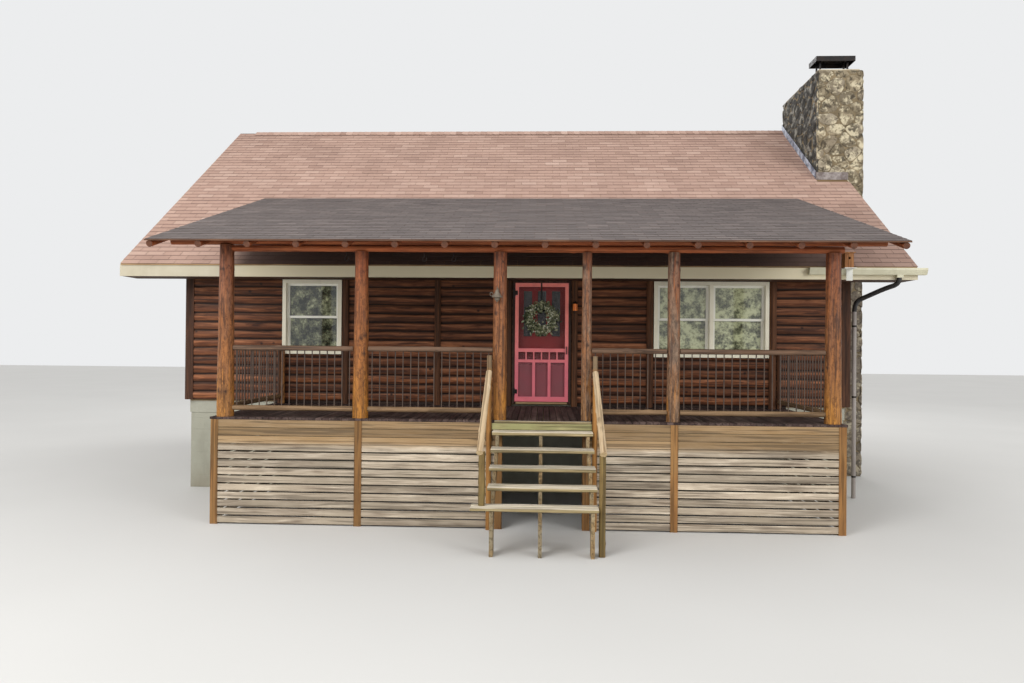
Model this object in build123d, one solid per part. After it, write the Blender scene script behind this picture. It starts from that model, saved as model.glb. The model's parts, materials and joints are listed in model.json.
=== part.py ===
from build123d import *
import os
from math import asin, cos, pi, radians, sin, sqrt

os.makedirs("parts", exist_ok=True)

# A one-and-a-half storey log cabin with a covered front porch, in millimetres.
# While it is modelled, X runs to the right along the front from the centre of the
# front door, Y runs back from the crown of the front wall's logs and Z runs up
# from the top of the porch floor. At the end every piece is shifted so that the
# origin is the centre of the footprint at the lowest ground.

# Ground and footprint
porch_height = 1500
seat_gap = 0.3
house_left = 6258
house_right = 5230
house_depth = 8638

# Log walls
log_height = 152.4
log_groove = 24
log_flat_count = 4
wall_thickness = 165
wall_base = 44
corner_post_radius = 60

# Foundation, floor frame and floor
foundation_thickness = 200
foundation_inset = 96
rim_inset = 82
rim_thickness = 38
rim_height = 202
subfloor_thickness = 25
floor_board_thickness = 19
joist_spacing = 1130

# Main roof, a nine in twelve pitch
roof_slope = 0.75
eave_above_door = 248
eave_overhang = 505
rake_left = 876
rake_right = 834
roof_thickness = 170
eave_lip = 20
drip_overhang = 15
fascia_thickness = 20
fascia_height = 197
soffit_thickness = 12
barge_thickness = 22
ridge_vent_width = 230
ridge_vent_thickness = 22
ridge_vent_setback = 400

# Porch floor
porch_depth = 2444
porch_left = 4650
porch_right = 4160
deck_thickness = 35
porch_joist_height = 184
porch_joist_count = 5

# Porch roof, a four in twelve pitch, laid over the main roof
porch_slope = 1 / 3
porch_eave_lift = 87
porch_eave_overhang = 331
porch_roof_left = 5436
porch_roof_right = 4831
porch_roof_thickness = 18
rafter_diameter = 95
rafter_spacing = 656
rafter_edge_inset = 55
rafter_eave_inset = 30
rafter_notch = 54
plate_diameter = 98
plate_left = 5281
plate_right = 4711
beam_diameter = 96
beam_right = 4135
peeled_log_sides = 16
rafter_seat = 0.2

# Porch posts: place along the front, diameter at the foot, diameter at the top
post_setback = 120
post_sides = 24
porch_posts = (
    (-4480, 244, 199),
    (-2543, 222, 192),
    (-584, 202, 190),
    (625, 148, 138),
    (1826, 190, 172),
    (3999, 228, 201),
)

# Porch railing
rail_centre = 970
top_rail_width = 86
top_rail_height = 76
bottom_rail_centre = 122
bottom_rail_width = 64
bottom_rail_height = 90
rail_shoulder = 32
rail_underside_width = 53
rail_flat_count = 5
baluster_size = 16
baluster_spacing = 107
side_rail_left = 4545
side_rail_right = 4020
rail_stud_width = 64

# Deck supports and skirting
deck_post_width = 100
deck_post_proud = 8
skirt_thickness = 20
skirt_board_count = 13
skirt_gap = 13
skirt_close_gap = 3
skirt_close_boards = 3

# Stair
tread_count = 5
first_drop = 125
tread_rise = 195.5
tread_going = 270
tread_depth = 255
tread_thickness = 50
tread_split = 10
tread_left = 655
tread_right = 700
last_tread_left = 840
stringer_thickness = 45
stringer_waist = 190
stringer_heel = 66
stringer_setback = 15
upper_newel_diameter = 72
upper_newel_top = 897
upper_newel_left = 716
upper_newel_right = 738
lower_newel_diameter = 86
lower_newel_left = 712
lower_newel_right = 748
handrail_diameter = 86
handrail_upper_height = 700
handrail_lower_height = -263
handrail_lower_left = 735
handrail_lower_right = 754
handrail_end_reach = 60

# Doorway and doors
door_width = 914
door_height = 2032
door_bottom = 80
door_clearance = 8
jamb_thickness = 38
head_thickness = 30
frame_proud = 31
stop_depth = 15
stop_clearance = 5
front_door_thickness = 44
threshold_thickness = 26
threshold_reach = 60
threshold_width = 900
lite_width = 145
lite_spacing = 243
lite_bottom = 1120
lite_top_rail = 127
lite_thickness = 8
knob_height = 900
knob_inset = 62
knob_diameter = 52
knob_thickness = 34
knob_stem = 24
knob_reach = 58

# Screen door
screen_door_thickness = 30
screen_stile = 60
screen_bottom_rail = 82
screen_second_rail = 670
screen_second_rail_height = 50
screen_middle_rail = 849
screen_middle_rail_height = 61
screen_top_rail = 66
short_bar_count = 5
short_bar_width = 22
long_bar_count = 2
long_bar_width = 50
mesh_thickness = 1
mesh_lap = 40
hinge_height = 75
hinge_width = 44
hinge_thickness = 3
hinge_pin_diameter = 12
hinge_pin_offset = 8
hinge_pin_inset = 2
hinge_side_gap = 2
hinge_fixed_width = 23
hinge_knuckle = 24
hinge_from_end = 170
hinge_sides = 12
handle_height = 130
handle_width = 16
handle_reach = 36
handle_foot = 14
handle_level = 880

# Windows: the casing's outside size and place
casing_width = 62
casing_proud = 28
lining_thickness = 24
sash_stile = 46
sash_thickness = 34
sash_setback = 40
sash_slide_gap = 3
meeting_rail = 40
pane_thickness = 6
window_head_above_door = 38
left_window_edge = -4508.5
left_window_width = 1037
window_height = 1290
right_window_edge = 3843.5
right_window_width = 1935
mullion_width = 66
side_window_places = (2300, 6300)

# Half-log uprights on the front wall
window_upright_widths = (124, 118, 128)
window_upright_gap = 5
door_upright_width = 104
door_upright_gap = 7
plain_upright_place = -1797
plain_upright_width = 108
upright_depth = 46
upright_flat_count = 6

# Chimney on the right gable
chimney_front = 2210
stack_gap = 220
stack_width = 920
stack_above_ridge = 612
shoulder_bottom = 3250
shoulder_top = 3700
flue_size = 330
flue_bottom = 1100
flue_back = 450
crown_height = 45
crown_inset = 70
flashing_height = 150
flashing_thickness = 7
cap_width = 780
cap_depth = 420
cap_rise = 232
cap_lip = 100
cap_thickness = 6
cap_leg = 30

# Gutter, downspout and fittings
gutter_left = 4310
gutter_right = 6170
gutter_depth = 112
gutter_height = 108
gutter_sheet = 3
gutter_drop = 4
gutter_lip_height = 32
gutter_base_setback = 34
outlet_place = 5752
outlet_width = 98
outlet_depth = 76
outlet_height = 45
outlet_setback = 39
spout_diameter = 76
spout_clearance = 36
spout_drop = 110
spout_turn_height = 1800
box_place = 4864
box_width = 135
box_depth = 150
box_height = 230
box_wall = 14
box_hole_diameter = 38
box_hole_height = 150
box_lift = -15
box_roof_overhang = 18
box_roof_thickness = 14
bracket_shift = 64
bracket_width = 100
bracket_drop = 195
bracket_height = 425
bracket_thickness = 12
lantern_centre = 1690
lantern_plate_width = 56
lantern_plate_height = 150
lantern_plate_thickness = 10
lantern_arm_size = 16
lantern_reach = 105
lantern_glass_width = 84
lantern_glass_height = 120
lantern_roof_width = 120
lantern_roof_height = 55
lantern_base_height = 16
lantern_roof_taper = 40

# Values worked out from the sizes above
door_top = door_bottom + door_height
eave_top = door_top + eave_above_door
porch_eave_top = eave_top + porch_eave_lift
post_line = porch_depth - post_setback
porch_eave_reach = porch_depth + porch_eave_overhang
window_top = door_top + window_head_above_door
lite_height = door_height - lite_bottom - lite_top_rail
left_window_centre = left_window_edge + left_window_width / 2
right_window_centre = right_window_edge - right_window_width / 2
stack_inner = house_right + stack_gap
chimney_outer = stack_inner + stack_width
ridge_y = house_depth / 2
roof_left = house_left + rake_left
roof_right = house_right + rake_right
roof_drop = roof_thickness * sqrt(1 + roof_slope ** 2)
porch_roof_drop = porch_roof_thickness * sqrt(1 + porch_slope ** 2)
opening_half = door_width / 2 + door_clearance + jamb_thickness
opening_top = door_top + door_clearance + head_thickness
door_upright_place = opening_half + door_upright_gap + door_upright_width / 2
lantern_place = door_upright_place
ground = -porch_height
fascia_face = -eave_overhang + drip_overhang
fascia_back = fascia_face + fascia_thickness
window_bottom = window_top - window_height
rim_top = wall_base - subfloor_thickness
rim_bottom = rim_top - rim_height
stair_front = -porch_depth - stringer_setback - tread_depth - tread_going * (tread_count - 1)
upper_newel_y = -porch_depth - seat_gap - upper_newel_diameter / 2
lower_newel_y = stair_front + tread_depth / 2


def roof_z(y):
    """Height of the main roof's top on the front slope."""
    return eave_top + roof_slope * (y + eave_overhang)


def porch_roof_z(y):
    """Height of the porch roof's top."""
    return porch_eave_top + porch_slope * (y + porch_eave_reach)


fascia_top = roof_z(fascia_face) - eave_lip
fascia_bottom = fascia_top - fascia_height
soffit_bottom = fascia_bottom
gutter_top = roof_z(-eave_overhang) - eave_lip - gutter_drop
chimney_top = roof_z(ridge_y) + stack_above_ridge


def block(x0, x1, y0, y1, z0, z1):
    """A box between two opposite corners."""
    corner = (Align.MIN, Align.MIN, Align.MIN)
    return Pos(x0, y0, z0) * Box(x1 - x0, y1 - y0, z1 - z0, align=corner)


def along_x(points, x0, x1):
    """A closed outline of (y, z) points, run from x0 to x1."""
    outline = Polyline(*[(x0, y, z) for y, z in points], close=True)
    return extrude(make_face(outline), amount=x1 - x0, dir=(1, 0, 0))


def along_y(points, y0, y1):
    """A closed outline of (x, z) points, run from y0 to y1."""
    outline = Polyline(*[(x, y0, z) for x, z in points], close=True)
    return extrude(make_face(outline), amount=y1 - y0, dir=(0, 1, 0))


def round_log(start, end, radius):
    """A round log between two points."""
    start, end = Vector(*start), Vector(*end)
    axis = end - start
    base = (Align.CENTER, Align.CENTER, Align.MIN)
    return Plane(origin=start, z_dir=axis) * Cylinder(radius, axis.length, align=base)


def peeled_log(start, end, radius):
    """A round log between two points, with the slight flats that a drawknife leaves."""
    start, end = Vector(*start), Vector(*end)
    axis = end - start
    section = RegularPolygon(radius, peeled_log_sides)
    return extrude(Plane(origin=start, z_dir=axis) * section, amount=axis.length)


def rounded_points(half_width, depth, flats):
    """Points along a rounded face: across from one edge to the other, and how far out."""
    radius = (half_width ** 2 + depth ** 2) / (2 * depth)
    reach = asin(half_width / radius)
    if depth > half_width:
        reach = pi - reach
    points = []
    for number in range(flats + 1):
        angle = reach * (2 * number / flats - 1)
        points.append((radius * sin(angle), radius * cos(angle) - radius + depth))
    return points


def to_back(piece):
    """The same piece on the back of the house."""
    return mirror(piece, about=Plane(origin=(0, ridge_y, 0), z_dir=(0, 1, 0)))


# Foundation and floor

def four_sides(inset, thickness, low, high):
    """Long pieces at the front and back, and end pieces just clear between them."""
    left, right = -house_left + inset, house_right - inset
    front, back = inset, house_depth - inset
    inner_front = front + thickness + seat_gap
    inner_back = back - thickness - seat_gap
    return [
        block(left, right, front, front + thickness, low, high),
        block(left, right, back - thickness, back, low, high),
        block(left, left + thickness, inner_front, inner_back, low, high),
        block(right - thickness, right, inner_front, inner_back, low, high),
    ]


def foundation_walls():
    """Block walls from the lowest ground to the floor frame."""
    return four_sides(foundation_inset, foundation_thickness, ground, rim_bottom)


def floor_frame():
    """Painted rim boards, and joists from the front rim to the back rim."""
    span = house_left + house_right - 2 * rim_inset
    count = int(span // joist_spacing)
    step = span / (count + 1)
    front = rim_inset + rim_thickness + seat_gap
    half = rim_thickness / 2
    joists = []
    for number in range(1, count + 1):
        x = -house_left + rim_inset + number * step
        joists.append(block(x - half, x + half, front, house_depth - front, rim_bottom, rim_top))
    return four_sides(rim_inset, rim_thickness, rim_bottom, rim_top) + joists


def subfloor():
    return block(-house_left + rim_inset, house_right - rim_inset,
                 rim_inset, house_depth - rim_inset, rim_top, wall_base)


def cabin_floor():
    """The boarded floor inside the log walls."""
    return block(-house_left + wall_thickness, house_right - wall_thickness,
                 wall_thickness, house_depth - wall_thickness,
                 wall_base, wall_base + floor_board_thickness)


# Log walls

def log_section(height):
    """Section through a wall: rounded log faces towards -X, a flat face inside."""
    courses = int(height // log_height) + 1
    face = rounded_points(log_height / 2, log_groove, log_flat_count)
    points = [(log_groove, 0)]
    for course in range(courses):
        middle = (course + 1 / 2) * log_height
        points += [(log_groove - out, middle + across) for across, out in face[1:]]
    top = courses * log_height
    points += [(wall_thickness, top), (wall_thickness, 0)]
    return make_face(Polyline(*points, close=True))


def log_wall(start, end, height):
    """A log wall facing the front, from start to end along X."""
    section = Plane(origin=(start, 0, wall_base), x_dir=(0, 1, 0), z_dir=(1, 0, 0))
    return extrude(section * log_section(height), amount=end - start)


def roof_space(y0, y1):
    """Everything above the underside of both roof slopes, to trim walls with."""
    eave = roof_z(y0) - roof_drop
    ridge = roof_z(ridge_y) - roof_drop
    top = 2 * ridge
    points = ((y0, eave), (ridge_y, ridge), (y1, eave), (y1, top), (y0, top))
    return along_x(points, -roof_left, roof_right)


def window_cut(centre, width, depth):
    """The hole for a window's lining in a wall that faces the front."""
    half = width / 2 - casing_width + lining_thickness
    low = window_bottom + casing_width - lining_thickness
    high = window_top - casing_width + lining_thickness
    return block(centre - half, centre + half, -depth, depth, low, high)


def front_walls():
    """The front wall, split beside and over the doorway."""
    tall = roof_z(wall_thickness) - roof_drop - wall_base
    cover = roof_space(-wall_thickness, house_depth + wall_thickness)
    left_end = -house_left + wall_thickness
    right_end = house_right - wall_thickness
    left = log_wall(left_end, -opening_half, tall) - cover
    left -= window_cut(left_window_centre, left_window_width, 2 * wall_thickness)
    right = log_wall(opening_half, right_end, tall) - cover
    right -= window_cut(right_window_centre, right_window_width, 2 * wall_thickness)
    over = log_wall(-opening_half, opening_half, tall) - cover
    over -= block(-opening_half, opening_half, -wall_thickness, 2 * wall_thickness, ground, opening_top)
    return left, right, over


def back_wall():
    tall = roof_z(wall_thickness) - roof_drop - wall_base
    wall = log_wall(-house_left + wall_thickness, house_right - wall_thickness, tall)
    wall -= roof_space(-wall_thickness, house_depth + wall_thickness)
    wall -= window_cut(left_window_centre, left_window_width, 2 * wall_thickness)
    wall -= window_cut(right_window_centre, right_window_width, 2 * wall_thickness)
    return to_back(wall)


def turn_to_left(piece):
    """A piece that faces the front, turned to face the left gable's side."""
    return Pos(-house_left, 0, 0) * (Rot(0, 0, -90) * piece)


def turn_to_right(piece):
    """A piece that faces the front, turned to face the right gable's side."""
    return Pos(house_right, 0, 0) * (Rot(0, 0, 90) * piece)


def gable_wall(windows):
    """A gable wall that faces the front, its middle at the middle of the house."""
    tall = roof_z(ridge_y) - roof_drop - wall_base
    wall = log_wall(wall_thickness, house_depth - wall_thickness, tall)
    for place in windows:
        wall -= window_cut(place, left_window_width, 2 * wall_thickness)
    return wall


def gable_walls():
    cover = roof_space(-wall_thickness, house_depth + wall_thickness)
    left = mirror(gable_wall(side_window_places), about=Plane.YZ)
    left = turn_to_left(left) - cover
    right = turn_to_right(gable_wall(side_window_places[1:])) - cover
    return left, right


def corner_post():
    """The left front corner post, its outer edge rounded like the log it is cut from."""
    width, radius = wall_thickness, corner_post_radius
    left = -house_left
    diagonal = radius * (1 - cos(radians(45)))
    edges = Curve() + [
        Line((left + width, 0), (left + radius, 0)),
        ThreePointArc((left + radius, 0), (left + diagonal, diagonal), (left, radius)),
        Polyline((left, radius), (left, width), (left + width, width), (left + width, 0)),
    ]
    height = roof_z(0) - roof_drop - wall_base
    return extrude(Pos(0, 0, wall_base) * make_face(edges), amount=height)


def corner_posts():
    front_left = corner_post()
    across = Plane(origin=((house_right - house_left) / 2, 0, 0), z_dir=(1, 0, 0))
    front_right = mirror(front_left, about=across)
    return [front_left, front_right, to_back(front_left), to_back(front_right)]


def upright(place, width, low, high):
    """A half log fixed upright on the front wall."""
    face = rounded_points(width / 2, upright_depth, upright_flat_count)
    outline = Polyline(*[(place + across, -out) for across, out in face], close=True)
    return extrude(Pos(0, 0, low) * make_face(outline), amount=high - low)


def window_uprights(low):
    """Uprights beside the single window and on both sides of the twin window."""
    left, middle, right = window_upright_widths
    single_edge = left_window_centre + left_window_width / 2 + window_upright_gap
    twin_half = right_window_width / 2 + window_upright_gap
    return [
        upright(single_edge + left / 2, left, low, soffit_bottom),
        upright(right_window_centre - twin_half - middle / 2, middle, low, soffit_bottom),
        upright(right_window_centre + twin_half + right / 2, right, low, soffit_bottom),
    ]


def wall_uprights():
    """Uprights beside the windows and door, and again beside the back windows."""
    front = window_uprights(0)
    front.append(upright(plain_upright_place, plain_upright_width, 0, soffit_bottom))
    for side in (-1, 1):
        front.append(upright(side * door_upright_place, door_upright_width, 0, soffit_bottom))
    back = [to_back(piece) for piece in window_uprights(wall_base)]
    rail_top = rail_centre + top_rail_height / 2
    studs = [upright(x, rail_stud_width, 0, rail_top) for x in (-side_rail_left, side_rail_right)]
    return front + back + studs


# Main roof

def roof_slab(x0, x1):
    """The front slope, with a lip that covers the fascia."""
    outer, inner = -eave_overhang, fascia_back
    points = (
        (outer, roof_z(outer)),
        (ridge_y, roof_z(ridge_y)),
        (ridge_y, roof_z(ridge_y) - roof_drop),
        (inner, roof_z(inner) - roof_drop),
        (inner, roof_z(inner) - eave_lip),
        (outer, roof_z(outer) - eave_lip),
    )
    return along_x(points, x0, x1)


def chimney_notch():
    """The part of the roof that the chimney takes."""
    return block(stack_inner, roof_right + barge_thickness, chimney_front, ridge_y,
                 ground, chimney_top)


def main_roof():
    slab = roof_slab(-roof_left + barge_thickness, roof_right - barge_thickness)
    return slab - chimney_notch(), to_back(slab)


def barge_board(x0):
    """A sloping board that closes the end of the front slope."""
    inner = fascia_back
    points = (
        (inner, roof_z(inner)),
        (ridge_y, roof_z(ridge_y)),
        (ridge_y, roof_z(ridge_y) - roof_drop),
        (inner, roof_z(inner) - roof_drop),
    )
    return along_x(points, x0, x0 + barge_thickness)


def barge_boards():
    left = barge_board(-roof_left)
    right = barge_board(roof_right - barge_thickness)
    return [left, to_back(left), right - chimney_notch(), to_back(right)]


def fascia():
    return block(-roof_left, roof_right, fascia_face, fascia_back, fascia_bottom, fascia_top)


def soffit():
    """The level boarding from the fascia back to the wall."""
    return block(-roof_left + barge_thickness, roof_right - barge_thickness,
                 fascia_back, 0, soffit_bottom, soffit_bottom + soffit_thickness)


def ridge_vent():
    """The low vent strip that covers the ridge, up to the chimney."""
    half = ridge_vent_width / 2
    rise = ridge_vent_thickness * sqrt(1 + roof_slope ** 2)
    top = roof_z(ridge_y)
    low = top - roof_slope * half
    points = (
        (ridge_y - half, low),
        (ridge_y - half, low + rise),
        (ridge_y, top + rise),
        (ridge_y + half, low + rise),
        (ridge_y + half, low),
        (ridge_y, top),
    )
    end = stack_inner - flashing_thickness - 2 * seat_gap
    return along_x(points, -roof_left + ridge_vent_setback, end)


# Porch roof

def porch_roof():
    """A thin boarded and shingled slope that dies into the main roof."""
    meet_top = (porch_roof_z(0) - roof_z(0)) / (roof_slope - porch_slope)
    meet_low = (porch_roof_z(0) - porch_roof_drop - roof_z(0)) / (roof_slope - porch_slope)
    eave = -porch_eave_reach
    points = (
        (eave, porch_eave_top),
        (meet_top, roof_z(meet_top)),
        (meet_low, roof_z(meet_low)),
        (eave, porch_eave_top - porch_roof_drop),
    )
    return along_x(points, -porch_roof_left, porch_roof_right)


def rafter_axis_z(y):
    """Height of a porch rafter's centre line."""
    tilt = sqrt(1 + porch_slope ** 2)
    return porch_roof_z(y) - porch_roof_drop - (rafter_diameter / 2 + rafter_seat) * tilt


def rafter_places():
    """Rafters at both edges of the porch roof and evenly between them."""
    left = -porch_roof_left + rafter_edge_inset
    right = porch_roof_right - rafter_edge_inset
    bays = round((right - left) / rafter_spacing)
    step = (right - left) / bays
    return [left + step * number for number in range(bays + 1)]


def porch_rafters():
    """Round rafters, notched over the plate log and cut to sit on the main roof."""
    radius = rafter_diameter / 2
    start_y = -porch_eave_reach + rafter_eave_inset
    end_y = (rafter_axis_z(0) - roof_z(0)) / (roof_slope - porch_slope) + 3 * radius
    main_roof_space = along_x((
        (-eave_overhang, roof_z(-eave_overhang) + rafter_seat),
        (ridge_y, roof_z(ridge_y) + rafter_seat),
        (ridge_y, 0),
        (-eave_overhang, 0),
    ), -roof_left, roof_right)
    notches = plate_log(plate_diameter / 2 + rafter_seat)
    rafters = []
    for x in rafter_places():
        low_end = (x, start_y, rafter_axis_z(start_y))
        high_end = (x, end_y, rafter_axis_z(end_y))
        rafters.append(peeled_log(low_end, high_end, radius) - main_roof_space - notches)
    return rafters


def plate_axis_z():
    """Height of the plate log's centre line, with the rafters notched over it."""
    tilt = sqrt(1 + porch_slope ** 2)
    reach = (rafter_diameter + plate_diameter) / 2 * tilt
    return rafter_axis_z(-post_line) - reach + rafter_notch


def plate_log(radius):
    """The log under the rafters, or with more radius the room that their notches leave for it."""
    z = plate_axis_z()
    return peeled_log((-plate_left, -post_line, z), (plate_right, -post_line, z), radius)


def beam_axis_z():
    """Height of the beam's centre line, just under the plate log."""
    return plate_axis_z() - (plate_diameter + beam_diameter) / 2 - rafter_seat


def porch_beam():
    """The plate log along the whole roof, and the beam under it from the first post to the last."""
    z = beam_axis_z()
    start = porch_posts[0][0]
    beam = peeled_log((start, -post_line, z), (beam_right, -post_line, z), beam_diameter / 2)
    return [plate_log(plate_diameter / 2), beam - porch_post(0, rafter_seat)]


def post_height(number):
    """The first post stands up to the plate log beside the beam; the others carry the beam."""
    beam_foot = beam_axis_z() - beam_diameter / 2
    return beam_foot + beam_diameter if number == 0 else beam_foot


def porch_post(number, room=0):
    """A peeled log post that tapers from its foot to its top, or with room the space cut for it."""
    place, foot, top = porch_posts[number]
    height = post_height(number) + room
    ends = [
        RegularPolygon(foot / 2 + room, post_sides),
        Pos(0, 0, height) * RegularPolygon(top / 2 + room, post_sides),
    ]
    return Pos(place, -post_line, 0) * loft(ends, ruled=True)


def post_radius(number, z):
    """Radius of a porch post at a height."""
    place, foot, top = porch_posts[number]
    return (foot + (top - foot) * z / post_height(number)) / 2


def stair_bay():
    """Number of the bay that the stair fills, which is the one in front of the door."""
    return sum(place < 0 for place, foot, top in porch_posts) - 1


# Porch floor, frame and skirting

def porch_deck():
    return block(-porch_left, porch_right, -porch_depth, rim_inset - seat_gap, -deck_thickness, 0)


def porch_joists():
    """Joists along the house under the deck, the first one behind the skirting."""
    first = -porch_depth + skirt_thickness
    last = rim_inset - seat_gap - rim_thickness
    step = (last - first) / (porch_joist_count - 1)
    low = -deck_thickness - porch_joist_height
    ends = skirt_thickness
    return [
        block(-porch_left + ends, porch_right - ends, first + step * number,
              first + step * number + rim_thickness, low, -deck_thickness)
        for number in range(porch_joist_count)
    ]


def deck_post_places():
    """Deck posts stand under the porch posts, the end ones at the deck's corners."""
    half = deck_post_width / 2
    inner = [place for place, foot, top in porch_posts[1:-1]]
    return [-porch_left + half + skirt_thickness] + inner + [porch_right - half - skirt_thickness]


def deck_posts():
    """Square posts from the ground to the joists, proud of the skirting between them."""
    front = -porch_depth - deck_post_proud
    joist_low = -deck_thickness - porch_joist_height
    half = deck_post_width / 2
    posts = []
    for x in deck_post_places():
        post = block(x - half, x + half, front, front + deck_post_width, ground, -deck_thickness)
        joist = block(x - half, x + half, -porch_depth + skirt_thickness,
                      front + deck_post_width, joist_low, -deck_thickness)
        posts.append(post - joist)
    return posts


def skirt_levels():
    """Bottom and top of each skirting board, close together at the top and then spaced."""
    pitch = (porch_height - deck_thickness) / skirt_board_count
    levels = []
    for number in range(skirt_board_count):
        gap = skirt_close_gap if number < skirt_close_boards else skirt_gap
        high = -deck_thickness - number * pitch
        levels.append((high - pitch + gap, high))
    last_low, last_high = levels[-1]
    levels[-1] = (ground, last_high)
    return levels


def front_skirting(first, last):
    """Boards between the deck posts numbered first to last."""
    places = deck_post_places()
    half = deck_post_width / 2
    boards = []
    for number in range(first, last):
        x0, x1 = places[number] + half, places[number + 1] - half
        for low, high in skirt_levels():
            boards.append(block(x0, x1, -porch_depth, -porch_depth + skirt_thickness, low, high))
    return boards


def side_skirting(x0):
    """Boards on one end of the porch, from the corner post back to the house."""
    y0 = -porch_depth - deck_post_proud + deck_post_width + seat_gap
    y1 = rim_inset - seat_gap
    return [block(x0, x0 + skirt_thickness, y0, y1, low, high) for low, high in skirt_levels()]


# Porch railings

def railing(length):
    """A panel along X from the origin: round-topped rail, bottom rail and balusters."""
    low = rail_centre - top_rail_height / 2
    shoulder = low + rail_shoulder
    under = rail_underside_width / 2
    crown = rounded_points(top_rail_width / 2, top_rail_height - rail_shoulder, rail_flat_count)
    outline = [(across, shoulder + out) for across, out in crown] + [(under, low), (-under, low)]
    panel = along_x(outline, 0, length)
    bottom_low = bottom_rail_centre - bottom_rail_height / 2
    bottom_high = bottom_rail_centre + bottom_rail_height / 2
    width = bottom_rail_width / 2
    panel += block(0, length, -width, width, bottom_low, bottom_high)
    count = max(int(length // baluster_spacing), 1)
    step = length / count
    thick = baluster_size / 2
    bars = []
    for number in range(count):
        x = step * (number + 1 / 2)
        bars.append(block(x - thick, x + thick, -thick, thick, bottom_high, low))
    return panel + bars


def front_railing(number):
    """The panel between one porch post and the next."""
    left_radius = post_radius(number, rail_centre)
    right_radius = post_radius(number + 1, rail_centre)
    x0 = porch_posts[number][0] + left_radius + seat_gap
    x1 = porch_posts[number + 1][0] - right_radius - seat_gap
    panel = Pos(x0, -post_line, 0) * railing(x1 - x0)
    for near in (number, number + 1):
        panel -= porch_post(near, seat_gap)
    return panel


def side_railing(number, x):
    """The panel from an end post back to its half-log stud on the house wall."""
    length = post_line - upright_depth - seat_gap
    panel = Pos(x, -post_line, 0) * (Rot(0, 0, 90) * railing(length))
    return panel - porch_post(number, seat_gap)


# Stair

def tread_top(number):
    return -first_drop - tread_rise * number


def tread_front(number):
    return stair_front + tread_going * (tread_count - 1 - number)


def stringer_outline():
    """A notched board that carries the treads, with its foot run down to the ground."""
    back = -porch_depth - deck_post_proud
    points = [(back, tread_top(0) - tread_thickness)]
    for number in range(tread_count):
        seat = tread_top(number) - tread_thickness
        nose = tread_front(number) + stringer_setback
        if number:
            points.append((tread_front(number - 1) + stringer_setback, seat))
        points.append((nose, seat))
    foot_front = tread_front(tread_count - 1) + stringer_setback
    foot_back = foot_front + stringer_waist
    slope = tread_rise / tread_going
    last_seat = tread_top(tread_count - 1) - tread_thickness
    points.append((foot_front, ground))
    points.append((foot_back, ground))
    points.append((foot_back, last_seat - stringer_heel))
    points.append((back, last_seat - stringer_heel + slope * (back - foot_back)))
    return points


def stair_stringers():
    outer = tread_left - stringer_thickness
    places = (-outer, -stringer_thickness / 2, tread_right - 2 * stringer_thickness)
    return [along_x(stringer_outline(), x, x + stringer_thickness) for x in places]


def stair_treads():
    """Each tread is two planks; the lowest one reaches out past the left newel."""
    plank = (tread_depth - tread_split) / 2
    planks = []
    for number in range(tread_count):
        left = last_tread_left if number == tread_count - 1 else tread_left
        top = tread_top(number)
        front = tread_front(number)
        for start in (front, front + plank + tread_split):
            planks.append(block(-left, tread_right, start, start + plank, top - tread_thickness, top))
    return planks


def handrail_log(upper_x, end_x, radius):
    """A peeled log from the upper newel's middle to past the lower newel."""
    start = (upper_x, upper_newel_y, handrail_upper_height)
    end = (end_x, lower_newel_y - handrail_end_reach, handrail_lower_height)
    return peeled_log(start, end, radius)


def handrail_sides():
    """Upper newel, lower newel, lower end of the handrail, and where the lower newel starts."""
    return (
        (-upper_newel_left, -lower_newel_left, -handrail_lower_left, tread_top(tread_count - 1)),
        (upper_newel_right, lower_newel_right, handrail_lower_right, ground),
    )


def handrails():
    """Both handrails, their upper ends cut plumb against the newels."""
    face = upper_newel_y - upper_newel_diameter / 2 - seat_gap
    behind = block(-house_left, house_right, face, 0, 0, 2 * handrail_upper_height)
    radius = handrail_diameter / 2
    return [handrail_log(upper, end, radius) - behind for upper, lower, end, low in handrail_sides()]


def newel(x, y, low, high, diameter):
    return peeled_log((x, y, low), (x, y, high), diameter / 2)


def stair_newels():
    """Two newels against the porch and two cut to carry the handrails' lower ends."""
    newels = []
    for upper, lower, end, low in handrail_sides():
        newels.append(newel(upper, upper_newel_y, ground, upper_newel_top, upper_newel_diameter))
        run = upper_newel_y - lower_newel_y + handrail_end_reach
        fall = handrail_upper_height - handrail_lower_height
        high = handrail_lower_height + fall * handrail_end_reach / run
        post = newel(lower, lower_newel_y, low, high, lower_newel_diameter)
        newels.append(post - handrail_log(upper, end, handrail_diameter / 2 + seat_gap))
    return newels


# Doorway

def door_frame():
    """Jambs, head and the stop that both doors close towards."""
    inner = door_width / 2 + door_clearance
    top = door_top + door_clearance
    frame = block(-opening_half, opening_half, -frame_proud, wall_thickness, wall_base, opening_top)
    frame -= block(-inner, inner, -wall_thickness, 2 * wall_thickness, ground, top)
    stop_front = stop_clearance
    stop_back = wall_thickness - front_door_thickness - stop_clearance
    stop = block(-inner, inner, stop_front, stop_back, wall_base, top)
    stop -= block(-inner + stop_depth, inner - stop_depth, 0, wall_thickness, ground, top - stop_depth)
    return frame + stop


def door_threshold():
    half = threshold_width / 2 - stop_depth
    return block(-half, half, -threshold_reach, wall_thickness,
                 wall_base, wall_base + threshold_thickness)


def front_door():
    """A flat door with three tall lites."""
    back = wall_thickness
    front = back - front_door_thickness
    leaf = block(-door_width / 2, door_width / 2, front, back, door_bottom, door_top)
    for x in lite_places():
        leaf -= block(x - lite_width / 2, x + lite_width / 2, 0, 2 * back,
                      door_bottom + lite_bottom, door_bottom + lite_bottom + lite_height)
    return leaf


def lite_places():
    return (-lite_spacing, 0, lite_spacing)


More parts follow.
